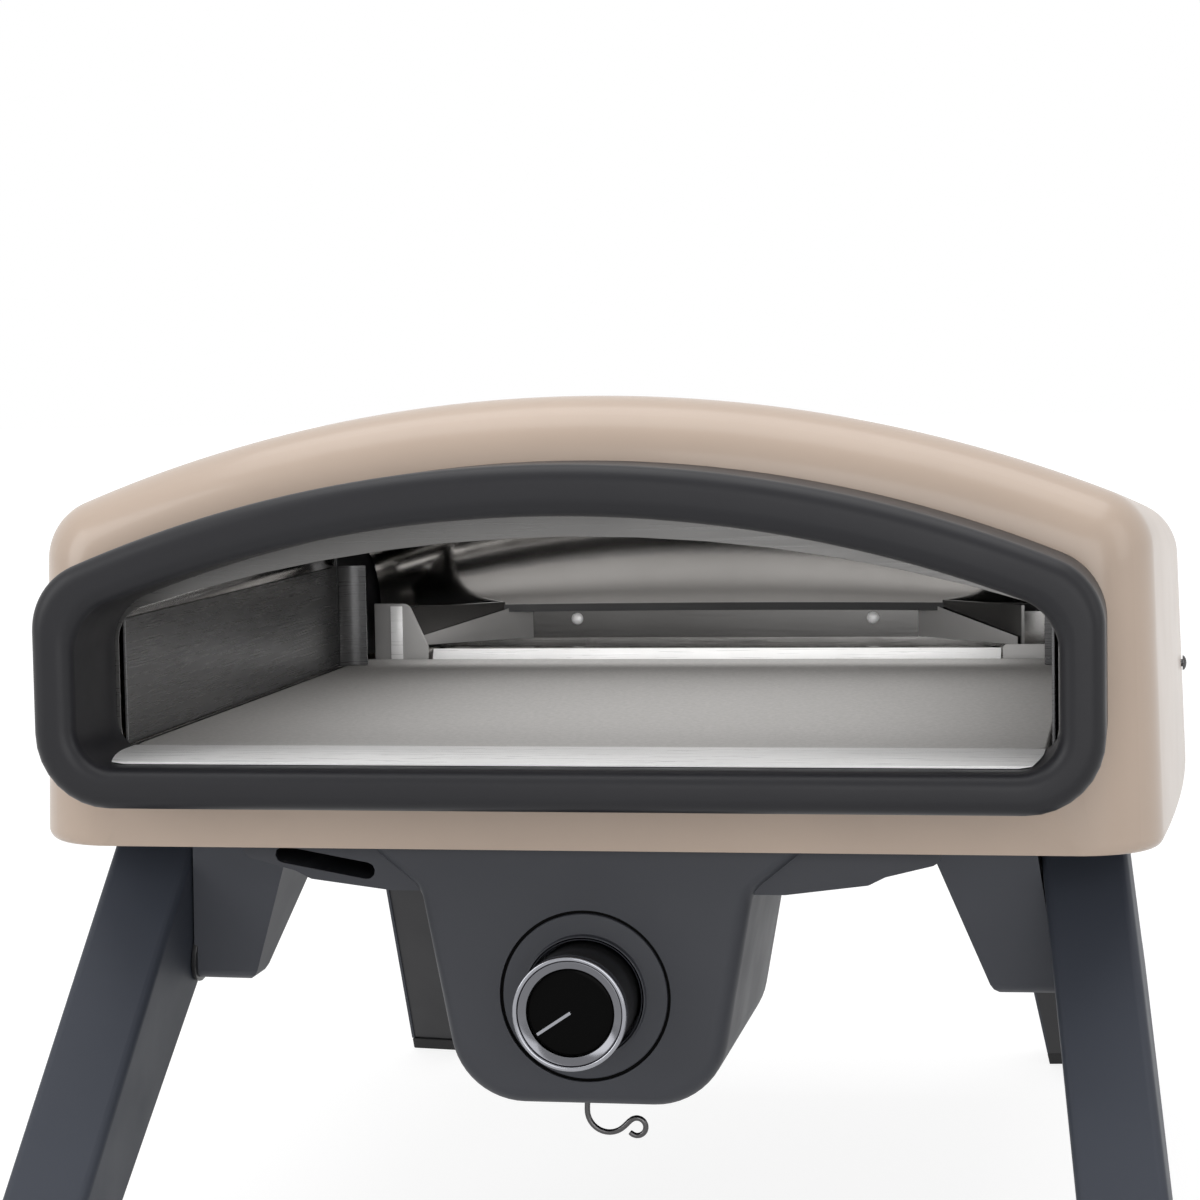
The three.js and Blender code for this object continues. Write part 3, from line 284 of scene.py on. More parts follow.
def skin(name, rings, closed=False):
    """A skin through rings of equal counts, closed on itself if asked."""
    obj = start_ring(name, rings[0])
    for before, after in zip(rings, rings[1:]):
        extrude_ring(obj, before, after)
    if closed:
        extrude_ring(obj, rings[-1], rings[0])
    bpy.ops.mesh.select_all(action="SELECT")
    bpy.ops.mesh.remove_doubles(threshold=SKIN_MERGE)
    bpy.ops.mesh.normals_make_consistent(inside=False)
    bpy.ops.object.mode_set(mode="OBJECT")
    return obj


def turned(name, profile, centre_z, steps=96, centre_x=0):
    """A profile of [radius, y], spun about an axis that runs front to back."""
    clear_selection()
    bpy.ops.mesh.primitive_plane_add(size=1.0)
    obj = bpy.context.object
    obj.name = obj.data.name = name
    bpy.ops.object.mode_set(mode="EDIT")
    bpy.ops.mesh.select_mode(type="VERT")
    bpy.ops.mesh.select_all(action="SELECT")
    bpy.ops.mesh.merge(type="CENTER")
    here = Vector((0, 0, 0))
    for i, (radius, y) in enumerate(profile):
        point = at(centre_x + radius, y, centre_z)
        if i == 0:
            bpy.ops.transform.translate(value=point - here)
        else:
            bpy.ops.mesh.extrude_vertices_move(TRANSFORM_OT_translate={"value": point - here})
        here = point
    bpy.ops.mesh.select_all(action="SELECT")
    bpy.ops.mesh.spin(
        steps=steps, angle=2 * math.pi, center=at(centre_x, 0, centre_z), axis=(0, 1, 0))
    bpy.ops.mesh.select_all(action="SELECT")
    bpy.ops.mesh.remove_doubles(threshold=TURNED_MERGE)
    bpy.ops.mesh.normals_make_consistent(inside=False)
    bpy.ops.object.mode_set(mode="OBJECT")
    return obj


def looped(points):
    """A profile that ends where it starts."""
    return points + points[:1]


def filleted(corners, steps):
    """A polyline of [x, y, radius] whose corners with a radius are rounded."""
    points = []
    for i, (x, y, radius) in enumerate(corners):
        if not radius:
            points.append((x, y))
            continue
        here = Vector((x, y))
        back = (Vector(corners[i - 1][:2]) - here).normalized()
        ahead = (Vector(corners[(i + 1) % len(corners)][:2]) - here).normalized()
        half = back.angle(ahead) / 2
        centre = here + (back + ahead).normalized() * (radius / math.sin(half))
        first = here + back * (radius / math.tan(half)) - centre
        last = here + ahead * (radius / math.tan(half)) - centre
        start, end = math.atan2(first.y, first.x), math.atan2(last.y, last.x)
        sweep = (end - start + math.pi) % (2 * math.pi) - math.pi
        points += arc(centre.x, centre.y, radius, start, start + sweep, steps)
    return points


def apply_modifier(obj, kind, **settings):
    select_only(obj)
    modifier = obj.modifiers.new(kind.title(), kind)
    for setting, value in settings.items():
        setattr(modifier, setting, value)
    bpy.ops.object.modifier_apply(modifier=modifier.name)


def fill_ends(obj):
    """Closes the open ends of a skin with flat faces."""
    select_only(obj)
    bpy.ops.object.mode_set(mode="EDIT")
    bpy.ops.mesh.select_all(action="SELECT")
    bpy.ops.mesh.fill_holes(sides=0)
    bpy.ops.mesh.select_all(action="SELECT")
    bpy.ops.mesh.normals_make_consistent(inside=False)
    bpy.ops.object.mode_set(mode="OBJECT")


def sheet(name, rows, thickness):
    """A thin sheet through rows of points."""
    clear_selection()
    bpy.ops.mesh.primitive_grid_add(
        x_subdivisions=len(rows[0]) - 1, y_subdivisions=len(rows) - 1, size=1.0)
    obj = bpy.context.object
    obj.name = obj.data.name = name
    points = [point for row in rows for point in row]
    if len(points) != len(obj.data.vertices):
        raise RuntimeError("the sheet's grid has another count of points")
    for vertex, point in zip(obj.data.vertices, points):
        vertex.co = point
    apply_modifier(obj, "SOLIDIFY", thickness=thickness, offset=-1.0)
    return obj


def soften(obj, width, angle=40, segments=2):
    """Rounds the edges that are sharper than the angle, in degrees."""
    apply_modifier(
        obj, "BEVEL", width=width, segments=segments, limit_method="ANGLE",
        angle_limit=math.radians(angle), use_clamp_overlap=True, miter_outer="MITER_ARC")


def finish_piece(obj, material, slot, body, *nodes, angle=40):
    """Smooths a piece, gives it its finish, and puts it in the place of its CAD nodes."""
    select_only(obj)
    bpy.ops.object.shade_smooth_by_angle(angle=math.radians(angle))
    obj.data.materials.clear()
    obj.data.materials.append(material)
    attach(obj, body)
    if nodes:
        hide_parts(*nodes)
    return obj


def copy_of(node, name, flat_angle=0.6):
    """A merged copy of a CAD node, with its flat faces joined."""
    select_only(NODES[node])
    bpy.ops.object.duplicate(linked=False)
    obj = bpy.context.object
    bpy.ops.object.parent_clear(type="CLEAR_KEEP_TRANSFORM")
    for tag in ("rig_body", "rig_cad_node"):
        if tag in obj:
            del obj[tag]
    obj.name = obj.data.name = name
    bpy.ops.object.mode_set(mode="EDIT")
    bpy.ops.mesh.select_mode(type="VERT")
    bpy.ops.mesh.select_all(action="SELECT")
    bpy.ops.mesh.customdata_custom_splitnormals_clear()
    bpy.ops.mesh.remove_doubles(threshold=NODE_MERGE)
    bpy.ops.mesh.dissolve_limited(angle_limit=math.radians(flat_angle))
    bpy.ops.object.mode_set(mode="OBJECT")
    return obj


# Finishes
def node_of(tree, kind, cell, inputs=None, **settings):
    """A node in a cell of [column, row] of the editor, with its inputs and settings."""
    column_width, row_height = 200, 300
    node = tree.nodes.new(kind)
    node.location = (cell[0] * column_width, cell[1] * row_height)
    for name, value in (inputs or {}).items():
        node.inputs[name].default_value = value
    for name, value in settings.items():
        setattr(node, name, value)
    return node


def shader(name, base, roughness, metallic=0.0, coat=0.0, coat_roughness=0.08, specular=0.5):
    """A new material with its node tree and its surface node."""
    material = bpy.data.materials.new(name)
    material.use_nodes = True
    tree = material.node_tree
    surface = tree.nodes["Principled BSDF"]
    for socket, value in (
        ("Base Color", (*base, 1)), ("Roughness", roughness), ("Metallic", metallic),
        ("Coat Weight", coat), ("Coat Roughness", coat_roughness), ("Specular IOR Level", specular),
    ):
        surface.inputs[socket].default_value = value
    return material, tree, surface


def place_pattern(tree, scale=(1, 1, 1)):
    """The piece's own coordinates, scaled along each axis."""
    where = node_of(tree, "ShaderNodeTexCoord", (-6, 0))
    mapping = node_of(tree, "ShaderNodeMapping", (-5, 0), {"Scale": scale})
    tree.links.new(where.outputs["Object"], mapping.inputs["Vector"])
    return mapping.outputs["Vector"]


def add_relief(tree, surface, pattern, scale, strength, distance, detail=2.0, row=-1):
    """Adds noise to the surface's normal, over any relief that it has."""
    grain = node_of(tree, "ShaderNodeTexNoise", (-4, row),
                    {"Scale": scale, "Detail": detail, "Roughness": 0.55})
    tree.links.new(pattern, grain.inputs["Vector"])
    bump = node_of(tree, "ShaderNodeBump", (-2, row), {"Strength": strength, "Distance": distance})
    tree.links.new(grain.outputs["Fac"], bump.inputs["Height"])
    previous = surface.inputs["Normal"].links
    if previous:
        tree.links.new(previous[0].from_socket, bump.inputs["Normal"])
    tree.links.new(bump.outputs["Normal"], surface.inputs["Normal"])


def vary(tree, surface, pattern, socket, scale, low, high, detail=3.0, row=1):
    """Drives a socket between two values with soft noise."""
    noise_low, noise_high = 0.3, 0.7
    noise = node_of(tree, "ShaderNodeTexNoise", (-4, row), {"Scale": scale, "Detail": detail})
    tree.links.new(pattern, noise.inputs["Vector"])
    if socket == "Base Color":
        ramp = node_of(tree, "ShaderNodeValToRGB", (-3, row))
        stops = ramp.color_ramp.elements
        stops[0].position, stops[1].position = noise_low, noise_high
        stops[0].color, stops[1].color = (*low, 1), (*high, 1)
        tree.links.new(noise.outputs["Fac"], ramp.inputs["Fac"])
        tree.links.new(ramp.outputs["Color"], surface.inputs["Base Color"])
        return
    span = node_of(tree, "ShaderNodeMapRange", (-3, row), {
        "From Min": noise_low, "From Max": noise_high, "To Min": low, "To Max": high})
    tree.links.new(noise.outputs["Fac"], span.inputs["Value"])
    tree.links.new(span.outputs["Result"], surface.inputs[socket])


def tinted(base, factor):
    return tuple(min(1.0, c * factor) for c in base)


def coated(name, base, roughness, spread=0.04, coat=0.0, coat_roughness=0.1, grain=1500,
           strength=0.12, specular=0.5):
    """Paint or powder coat with fine orange peel and slight tone changes."""
    material, tree, surface = shader(
        name, base, roughness, coat=coat, coat_roughness=coat_roughness, specular=specular)
    pattern = place_pattern(tree)
    add_relief(tree, surface, pattern, grain, strength, distance=0.2 * MM)
    vary(tree, surface, pattern, "Base Color", 9, tinted(base, 0.96), tinted(base, 1.04))
    vary(tree, surface, pattern, "Roughness", 26, roughness - spread, roughness + spread, row=2)
    return material


def brushed(name, base, roughness, spread=0.04, lines=LINES_ALONG_X, strength=0.05, waves=0.0,
            metallic=1.0):
    """Sheet metal with brush lines along one axis and, if asked, a slight waviness."""
    material, tree, surface = shader(name, base, roughness, metallic=metallic)
    pattern = place_pattern(tree, lines)
    add_relief(tree, surface, pattern, 3.0, strength, distance=0.1 * MM, detail=4.0)
    broad = place_pattern(tree)
    if waves:
        add_relief(tree, surface, broad, 7.0, waves, distance=4 * MM, detail=1.0, row=-2)
    vary(tree, surface, broad, "Base Color", 12, tinted(base, 0.9), tinted(base, 1.05))
    vary(tree, surface, pattern, "Roughness", 5, roughness - spread, roughness + spread, row=2)
    return material


def speckled(name, base, roughness, grain, strength, dark, light):
    """Matt mineral, wool or rubber with a fine speckle."""
    material, tree, surface = shader(name, base, roughness, specular=0.3)
    pattern = place_pattern(tree)
    add_relief(tree, surface, pattern, grain, strength, distance=0.5 * MM, detail=6.0)
    vary(tree, surface, pattern, "Base Color", grain * 0.6, tinted(base, dark), tinted(base, light),
         detail=8.0)
    return material


FINISHES = {}


def make_finishes():
    """Fills the table of finishes. Most are named as the record's material slots are."""
    c = colours()
    FINISHES.update({
        "enamel": coated("beige_enamel", c.enamel, 0.34, spread=0.02, coat=0.3,
                         coat_roughness=0.12, grain=900, strength=0.03, specular=0.4),
        "charcoal": coated("charcoal_powder_coat", c.charcoal, 0.5, specular=0.28),
        # The brackets get the charcoal lightened 1.45 times: painted light on their lit faces.
        "bracket": coated("bracket_coat_painted_light", tinted(c.charcoal, 1.45), 0.5, specular=0.28),
        "frame_coat": coated("dark_powder_coat", c.frame_coat, 0.4, strength=0.1, specular=0.25),
        "leg_paint": coated("bluish_powder_coat", c.leg_paint, 0.54, specular=0.3),
        "black_gloss": coated("gloss_black", (0.003, 0.003, 0.003), 0.14, spread=0.02,
                              coat_roughness=0.03, grain=600, strength=0.01, specular=0.02),
        "black_plastic": coated("black_moulding", (0.012, 0.012, 0.013), 0.38, grain=1400,
                                strength=0.08),
        "stainless": brushed("stainless_sheet", c.steel, 0.22, waves=0.02),
        # The sheet behind the burner is steel darkened to 0.28 times: painted shade of the
        # chamber's back.
        "shroud": brushed("mirror_sheet_painted_shade", tinted(c.steel, 0.28), 0.2, spread=0.03, strength=0.02),
        "liner": brushed("dark_liner", (0.115, 0.115, 0.117), 0.28, spread=0.02,
                         lines=LEVEL_LINES, strength=0.008, waves=0.05, metallic=0.55),
        "satin": brushed("satin_sheet", tinted(c.steel, 0.8), 0.32, metallic=0.6),
        "lip": brushed("bright_lip", (0.92, 0.915, 0.91), 0.3, strength=0.03, metallic=0.15),
        "smoked": brushed("smoked_chrome", (0.3, 0.305, 0.33), 0.16, spread=0.02,
                          lines=EVEN_GRAIN, strength=0.01),
        # A darker copy of the smoked chrome for the knob ring's slanted inner band: painted shade.
        "bevel": brushed("smoked_bevel_painted_shade", (0.15, 0.152, 0.165), 0.16, spread=0.02,
                         lines=EVEN_GRAIN, strength=0.01),
        # The front baffle is steel darkened to 0.22 times: painted shade of the darker surroundings
        # that it reflects.
        "baffle": brushed("satin_baffle_painted_shade", tinted(c.steel, 0.22), 0.3),
        "dome": brushed("polished_dome", tinted(c.steel, 1.05), 0.12, spread=0.015,
                        lines=LINES_ALONG_Y, strength=0.006, waves=0.1),
        "hood": brushed("polished_hood", tinted(c.steel, 1.15), 0.12, spread=0.015,
                        lines=LINES_ALONG_Y, strength=0.006, waves=0.1),
        "dark_steel": brushed("heat_darkened_sheet", c.dark_steel, 0.2, spread=0.05,
                              lines=LEVEL_LINES, waves=0.05),
        "brass": brushed("machined_brass", (0.56, 0.42, 0.18), 0.28, spread=0.05,
                         lines=TURNED_LINES, strength=0.06),
        "stone": speckled("cordierite", c.stone, 0.85, 700, 0.25, dark=0.9, light=1.08),
        "ceramic": speckled("glazed_ceramic", (0.72, 0.7, 0.66), 0.3, 300, 0.05, dark=0.97,
                            light=1.02),
        "rubber": speckled("foot_rubber", c.rubber, 0.75, 900, 0.2, dark=0.9, light=1.15),
        "wool": speckled("ceramic_wool", (0.7, 0.68, 0.64), 0.95, 240, 0.8, dark=0.85, light=1.05),
    })


def record_slot(node):
    """The material slot that the record gives a node."""
    entries = {s["node"]: s["material_slot"] for s in frame["record"]["subparts"]}
    return entries[node]


def body_name(node):
    """The body that a node moves with."""
    groups = frame["record"]["behaviour"]["bodies"]
    return next(name for name, members in groups.items() if node in members)


def finish_node(node):
    """Gives a CAD node that stays as it is the finish of its slot."""
    obj = NODES[node]
    obj.data.materials.clear()
    obj.data.materials.append(FINISHES[record_slot(node)])
    for polygon in obj.data.polygons:
        polygon.material_index = 0


def dress(node, width, finish=None, angle=40, bevel_angle=40, segments=2):
    """A copy of a CAD node in its place, its edges softened where a width is given."""
    slot = record_slot(node)
    obj = copy_of(node, "dressed_" + node)
    if width:
        soften(obj, width, bevel_angle, segments)
    finish_piece(obj, FINISHES[finish or slot], slot, body_name(node), node, angle=angle)
    if width:
        apply_modifier(obj, "WEIGHTED_NORMAL", keep_sharp=True)
    return obj


class PieceOperator:
    """Shared options of the operators that make pieces."""

    bl_options = {"REGISTER", "UNDO"}


class OVEN_OT_body(PieceOperator, bpy.types.Operator):
    """Loft the rolled, arched shell with its mouth and rear openings"""

    bl_idname = "pizza_oven.body"
    bl_label = "Enamelled body"

    def execute(self, context):
        s = sizes()
        lip, roll = s.lip / MM, s.roll / MM
        belly, belly_steps = 480, 18
        depth = BODY_BACK - BODY_FRONT
        turns = quarter_turns(ROLL_STEPS) + [math.acos(1 - lip / roll)]
        rolled = [(roll * (1 - math.cos(t)), roll * (1 - math.sin(t))) for t in sorted(turns)]
        level = [(roll + i * belly / belly_steps, 0) for i in range(1, belly_steps)]
        stations = rolled + level + [(depth - y, offset) for y, offset in reversed(rolled)]
        # The first ring hides behind the mouth frame, and the last is the rear opening
        behind_frame = 0.8
        turned_in, rear_corner = 12, 18
        rings = [[at(x, BODY_FRONT, z) for x, z in frame_outline(behind_frame)]]
        for reach, offset in stations:
            y = BODY_FRONT + reach
            rings.append([at(x, y, z) for x, z in body_section(y, offset)])
        rear = body_section(
            BODY_BACK, roll + turned_in, BODY_BOTTOM + lip + turned_in, rear_corner)
        rings.append([at(x, BODY_BACK, z) for x, z in rear])
        body = skin("body_shell", rings)
        self.open_bottom(body, lip)
        apply_modifier(body, "SOLIDIFY", thickness=s.wall, offset=-1.0, use_even_offset=True)
        soften(body, 0.5 * MM, angle=55)
        finish_piece(body, FINISHES["enamel"], "enamel", "oven_body", "outer_shell", angle=35)
        return {"FINISHED"}

    def open_bottom(self, body, lip):
        """Deletes the floor between the turned-in lips."""
        slack = 0.01
        low = at(0, BODY_FRONT + lip - slack, 0).y
        high = at(0, BODY_BACK - lip + slack, 0).y
        select_only(body)
        bpy.ops.object.mode_set(mode="EDIT")
        bpy.ops.mesh.select_mode(type="FACE")
        bpy.ops.mesh.select_all(action="DESELECT")
        mesh = bmesh.from_edit_mesh(body.data)
        for face in mesh.faces:
            points = [v.co for v in face.verts]
            down = all(abs(p.z - BODY_BOTTOM * MM) < slack * MM for p in points)
            within = all(low <= p.y <= high for p in points)
            across = min(p.x for p in points) < 0 < max(p.x for p in points)
            face.select_set(down and within and across)
        bmesh.update_edit_mesh(body.data)
        bpy.ops.mesh.delete(type="FACE")
        bpy.ops.object.mode_set(mode="OBJECT")


class OVEN_OT_mouth(PieceOperator, bpy.types.Operator):
    """Sweep the mouth frame's channel round the arched opening"""

    bl_idname = "pizza_oven.mouth"
    bl_label = "Mouth frame"

    def execute(self, context):
        edge = sizes().frame_edge / MM
        wall, inner_edge, edge_steps = 2.5, 2, 7
        outer_depth, inner_depth = 59.7, 62
        section = filleted([
            (0, outer_depth, 0), (0, 0, edge),
            (FRAME_WIDTH, 0, edge), (FRAME_WIDTH, inner_depth, 0),
            (FRAME_WIDTH - wall, inner_depth, 0), (FRAME_WIDTH - wall, wall, inner_edge),
            (wall, wall, inner_edge), (wall, outer_depth, 0),
        ], edge_steps)
        rings = [[at(x, y, z) for x, z in frame_outline(across / FRAME_WIDTH)]
                 for across, y in section]
        piece = skin("mouth_frame_channel", rings, closed=True)
        finish_piece(
            piece, FINISHES["frame_coat"], "charcoal", "oven_body", "mouth_frame", angle=35)
        return {"FINISHED"}


class OVEN_OT_chamber(PieceOperator, bpy.types.Operator):
    """Dress the baking chamber's sheets, stone and burner"""

    bl_idname = "pizza_oven.chamber"
    bl_label = "Baking chamber"

    def execute(self, context):
        edge = sizes().sheet_edge
        dress("front_baffle", edge, "baffle", bevel_angle=60)
        dress("mouth_sill", 0.3 * MM, "lip", angle=60, bevel_angle=60)
        dress("pizza_stone", 1.2 * MM, bevel_angle=60, segments=3)
        dress("stone_tray", edge)
        for side, _ in SIDES:
            dress(side + "_side_liner", edge, "liner", bevel_angle=60)
        dress("inner_dome", 0, "dome", angle=30)
        dress("burner_shroud", 0, "shroud", angle=12)
        self.shroud_rivets()
        self.shroud_wedge_highlights()
        for side, _ in SIDES:
            dress("burner_bracket_" + side, edge, "satin")
        self.rear_hood()
        self.hood_shade_band()
        self.painted_highlight_strip()
        self.corner_sheets()
        for node in ("rear_liner", "burner_tray", "burner_tube", "flame_sensor",
                     "igniter_electrode", "mixing_tube", "insulation_blanket"):
            finish_node(node)
        return {"FINISHED"}

    def shroud_rivets(self):
        """Two bright rivets on the sheet behind the burner."""
        place, sunk, steps = 94, 1.2, 32
        (_, _, bottom), (_, back, top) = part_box("burner_shroud")
        face, middle = (back - FRONT) / MM - sunk, (bottom + top) / 2 / MM
        button = [(0, -2), (1.3, -1.95), (2.6, -1.5), (3.5, -0.7), (3.9, 0.2), (3.9, 1), (0, 1)]
        profile = [(radius, face + y) for radius, y in button]
        for side, sign in SIDES:
            rivet = turned("shroud_rivet_" + side, profile, middle, steps, sign * place)
            finish_piece(rivet, FINISHES["lip"], "stainless", "oven_body", angle=60)

    def shroud_wedge_highlights(self):
        """Lighter plates on the slanted ends of the sheet behind the burner: painted light on those
        ends.
        """
        corners = [[v / MM for v in corner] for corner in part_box("burner_shroud")]
        (_, front, bottom), (half, back, top) = corners
        front, back = front - FRONT / MM, back - FRONT / MM
        outer, inner = (half - 4, front + 0.5), (half - 67.5, back - 1.6)
        heights = ((bottom + 0.3, bottom + 0.3), (bottom + 5, top - 0.5))
        for side, sign in SIDES:
            rows = [[at(sign * outer[0], outer[1], outer_z), at(sign * inner[0], inner[1], inner_z)]
                    for outer_z, inner_z in heights]
            wedge = sheet("shroud_wedge_highlight_" + side, rows, 0.4 * MM)
            finish_piece(wedge, FINISHES["satin"], "stainless", "oven_body")

    def bowed(self, start, x):
        """How far back the hood's lower edge lies at x, counted from a start."""
        return start + HOOD_DEPTH - HOOD_BOW * (x / HOOD_HALF) ** 2

    def rear_hood(self):
        """Polished sheet that curves from the ceiling down behind the burner."""
        rows, columns = 20, 52
        across = [-HOOD_HALF + 2 * HOOD_HALF * j / columns for j in range(columns + 1)]
        points = []
        for turn in quarter_turns(rows):
            row = []
            for x in across:
                ceiling = CEILING_TOP - CEILING_RADIUS + math.sqrt(CEILING_RADIUS ** 2 - x ** 2)
                y = HOOD_FRONT + self.bowed(0, x) * math.sin(turn)
                row.append(at(x, y, HOOD_LOW + (ceiling - HOOD_LOW) * math.cos(turn)))
            points.append(row)
        hood = sheet("polished_rear_hood", points, THIN_SHEET)
        finish_piece(hood, FINISHES["hood"], "stainless", "oven_body")

    def hood_shade_band(self):
        """Black band along the hood's lower edge: painted shade of the gap between the hood and the
        sheet below it.
        """
        front, half, step, below, above = 468.6, 208, 8, 2.2, 2.6
        rows = [[at(x, self.bowed(front, x), z) for x in range(-half, half + 1, step)]
                for z in (HOOD_LOW - below, HOOD_LOW + above)]
        rim = sheet("hood_shade_band", rows, THIN_SHEET)
        finish_piece(rim, FINISHES["black_plastic"], "dark_steel", "oven_body")

    def painted_highlight_strip(self):
        """Painted highlights: a bright strip where light glints along the stone's back edge, and a
        bright strip on the upright fold of the tall bracket.
        """
        for name, left, right, front, back, low, high in (
            ("painted_highlight_strip", -174, 176, 500.2, 503.4, 287.5, 294.5),
            ("bracket_fold_highlight", -200.5, -193, 500.6, 501.2, 287.5, 321),
        ):
            rows = [[at(x, y, z) for x in (left, right)] for y, z in ((front, low), (back, high))]
            strip = sheet(name, rows, THIN_SHEET)
            soften(strip, 0.2 * MM)
            finish_piece(strip, FINISHES["lip"], "stainless", "oven_body")

    def corner_sheets(self):
        """Dark sheets that close the chamber's sides beside the burner."""
        place, depths, heights = 218.5, (445, 574), (289.5, 372)
        for side, sign in SIDES:
            rows = [[at(sign * place, y, z) for y in depths] for z in heights]
            closer = sheet(side + "_corner_sheet", rows, THIN_SHEET)
            finish_piece(closer, FINISHES["black_plastic"], "dark_steel", "oven_body")


class OVEN_OT_underside(PieceOperator, bpy.types.Operator):
    """Dress the base plate, the tray, the control box, its pipes and the wire hook"""

    bl_idname = "pizza_oven.underside"
    bl_label = "Underside"

    def execute(self, context):
        dress("bottom_tray", 2 * MM, bevel_angle=15, segments=4)
        self.control_box()
        for node in ("base_plate", "gas_pipe", "inlet_pipe", "gas_inlet", "valve_body",
                     "valve_stem"):
            finish_node(node)
        hook = copy_of("wire_hook", "bent_wire_hook", flat_angle=0.01)
        apply_modifier(hook, "SUBSURF", levels=1, render_levels=1)
        finish_piece(hook, FINISHES["dark_steel"], "dark_steel", "oven_body", "wire_hook", angle=60)
        return {"FINISHED"}

    def half_at(self, z):
        """The box's half width, which tapers downwards."""
        return BOX_HALF - BOX_TAPER * (BOX_HALF_Z - z)

    def outline(self, offset):
        """The control box from the front, flared where it meets the tray."""
        foot_radius, waist_radius, steps = 36, 16, 12
        low = BOX_BOTTOM + offset
        foot = self.half_at(low) - offset
        waist = self.half_at(BOX_WAIST) - offset
        return filleted([
            (-waist - BOX_FLARE, BOX_TOP, 0), (-waist, BOX_WAIST, waist_radius),
            (-foot, low, foot_radius - offset), (foot, low, foot_radius - offset),
            (waist, BOX_WAIST, waist_radius), (waist + BOX_FLARE, BOX_TOP, 0),
        ], steps)

    def control_box(self):
        """The box lofted from its soft front edge to its back, with the dial's round seat."""
        front, back, front_roll, back_roll = 70, 230, 9, 3
        seat_radius, seat_depth, seat_middle = 41.1 * MM, 28 * MM, 74
        turns = quarter_turns(CORNER_STEPS)
        stations = [(front + front_roll * (1 - math.cos(t)), front_roll * (1 - math.sin(t)))
                    for t in turns]
        stations += [(back - back_roll * (1 - math.cos(t)), back_roll * (1 - math.sin(t)))
                     for t in reversed(turns)]
        rings = [[at(x, y, z) for x, z in self.outline(offset)] for y, offset in stations]
        box = skin("control_box_skin", rings)
        fill_ends(box)
        bpy.ops.mesh.primitive_cylinder_add(
            vertices=ROUND_STEPS, radius=seat_radius, depth=seat_depth,
            location=at(0, seat_middle, KNOB_Z), rotation=(math.pi / 2, 0, 0))
        seat = bpy.context.object
        apply_modifier(box, "BOOLEAN", operation="DIFFERENCE", object=seat, solver="EXACT")
        bpy.data.objects.remove(seat)
        finish_piece(
            box, FINISHES["charcoal"], "charcoal", "oven_body", "control_box", angle=35)


class OVEN_OT_knob(PieceOperator, bpy.types.Operator):
    """Turn the dial plate and the push knob with its ring, cap and pointer"""

    bl_idname = "pizza_oven.knob"
    bl_label = "Gas knob"

    def execute(self, context):
        self.dial()
        self.barrel()
        self.rings()
        self.cap()
        dress("knob_pointer", 0.2 * MM, "smoked")
        return {"FINISHED"}

    def dial(self):
        """The dial plate with its well, and a black ring in the gap round it: painted shadow of the
        seam.
        """
        well, boss, stem_hole, face, rim = 27.5, 29.5, 6.5, 39.5, 45
        nose, front, step, back, floor, end = 66.5, 70, 72.8, 74.8, 84, 86
        plate = turned("dial_plate_turned", filleted([
            (well, nose, 0.6), (well, floor, 0), (stem_hole, floor, 0), (stem_hole, end, 0),
            (boss, end, 0), (boss, back, 0), (rim, back, 0), (rim, step, 0),
            (face, step, 0), (face, front, 0.7), (boss, front, 0.8), (boss, nose, 0.7),
        ], 3), KNOB_Z, ROUND_STEPS)
        finish_piece(plate, FINISHES["charcoal"], "charcoal", "oven_body", "dial_plate", angle=50)
        # A black ring in the gap round the plate paints the seam's shadow.
        inner, outer, near, far = 39.6, 41.0, 71.8, 72.7
        seam = looped([(inner, near), (outer, near), (outer, far), (inner, far)])
        seam = turned("dial_seam_shadow", seam, KNOB_Z, ROUND_STEPS)
        finish_piece(seam, FINISHES["black_gloss"], "charcoal", "oven_body", angle=50)

    def barrel(self):
        """The knob's body, open at the back."""
        body = turned("knob_barrel", [
            (0, 40), (20.6, 40), (20.6, 36), (24.7, 36), (25.2, 36.5), (25.9, 79), (25.4, 79.5),
            (4.4, 79.5), (4.4, 47.5), (0, 47.5),
        ], KNOB_Z)
        finish_piece(
            body, FINISHES["black_plastic"], "black_plastic", "knob", "knob_body", angle=50)

    def rings(self):
        """The knob's ring in two tones: a bright outer band and a slanted inner one in a darker
        copy of the chrome, painted shade on the slant.
        """
        for name, finish, corners in (
            ("knob_chrome_ring", "smoked",
             [(24.6, 35.7, 0.2), (26.8, 35.7, 1.0), (26.8, 29.7, 1.05), (24.6, 29.7, 1.05)]),
            ("knob_bevel_ring_painted_shade", "bevel",
             [(20.6, 35.7, 0.2), (24.5, 35.7, 0.2), (24.5, 30.4, 0.4), (20.6, 32.4, 0.6)]),
        ):
            ring = turned(name, looped(filleted(corners, 8)), KNOB_Z, ROUND_STEPS)
            finish_piece(ring, FINISHES[finish], "chrome", "knob", "knob_ring", angle=60)

    def cap(self):
        """The slightly crowned gloss cap, seated in the knob's face."""
        cap = turned("knob_gloss_cap", [
            (0, 33.6), (8, 33.62), (14, 33.72), (18, 33.86), (19.6, 33.98), (20.05, 34.2),
            (20.2, 34.6), (20.2, 39.7), (0, 39.7),
        ], KNOB_Z)
        finish_piece(cap, FINISHES["black_gloss"], "black_gloss", "knob", "knob_cap", angle=50)


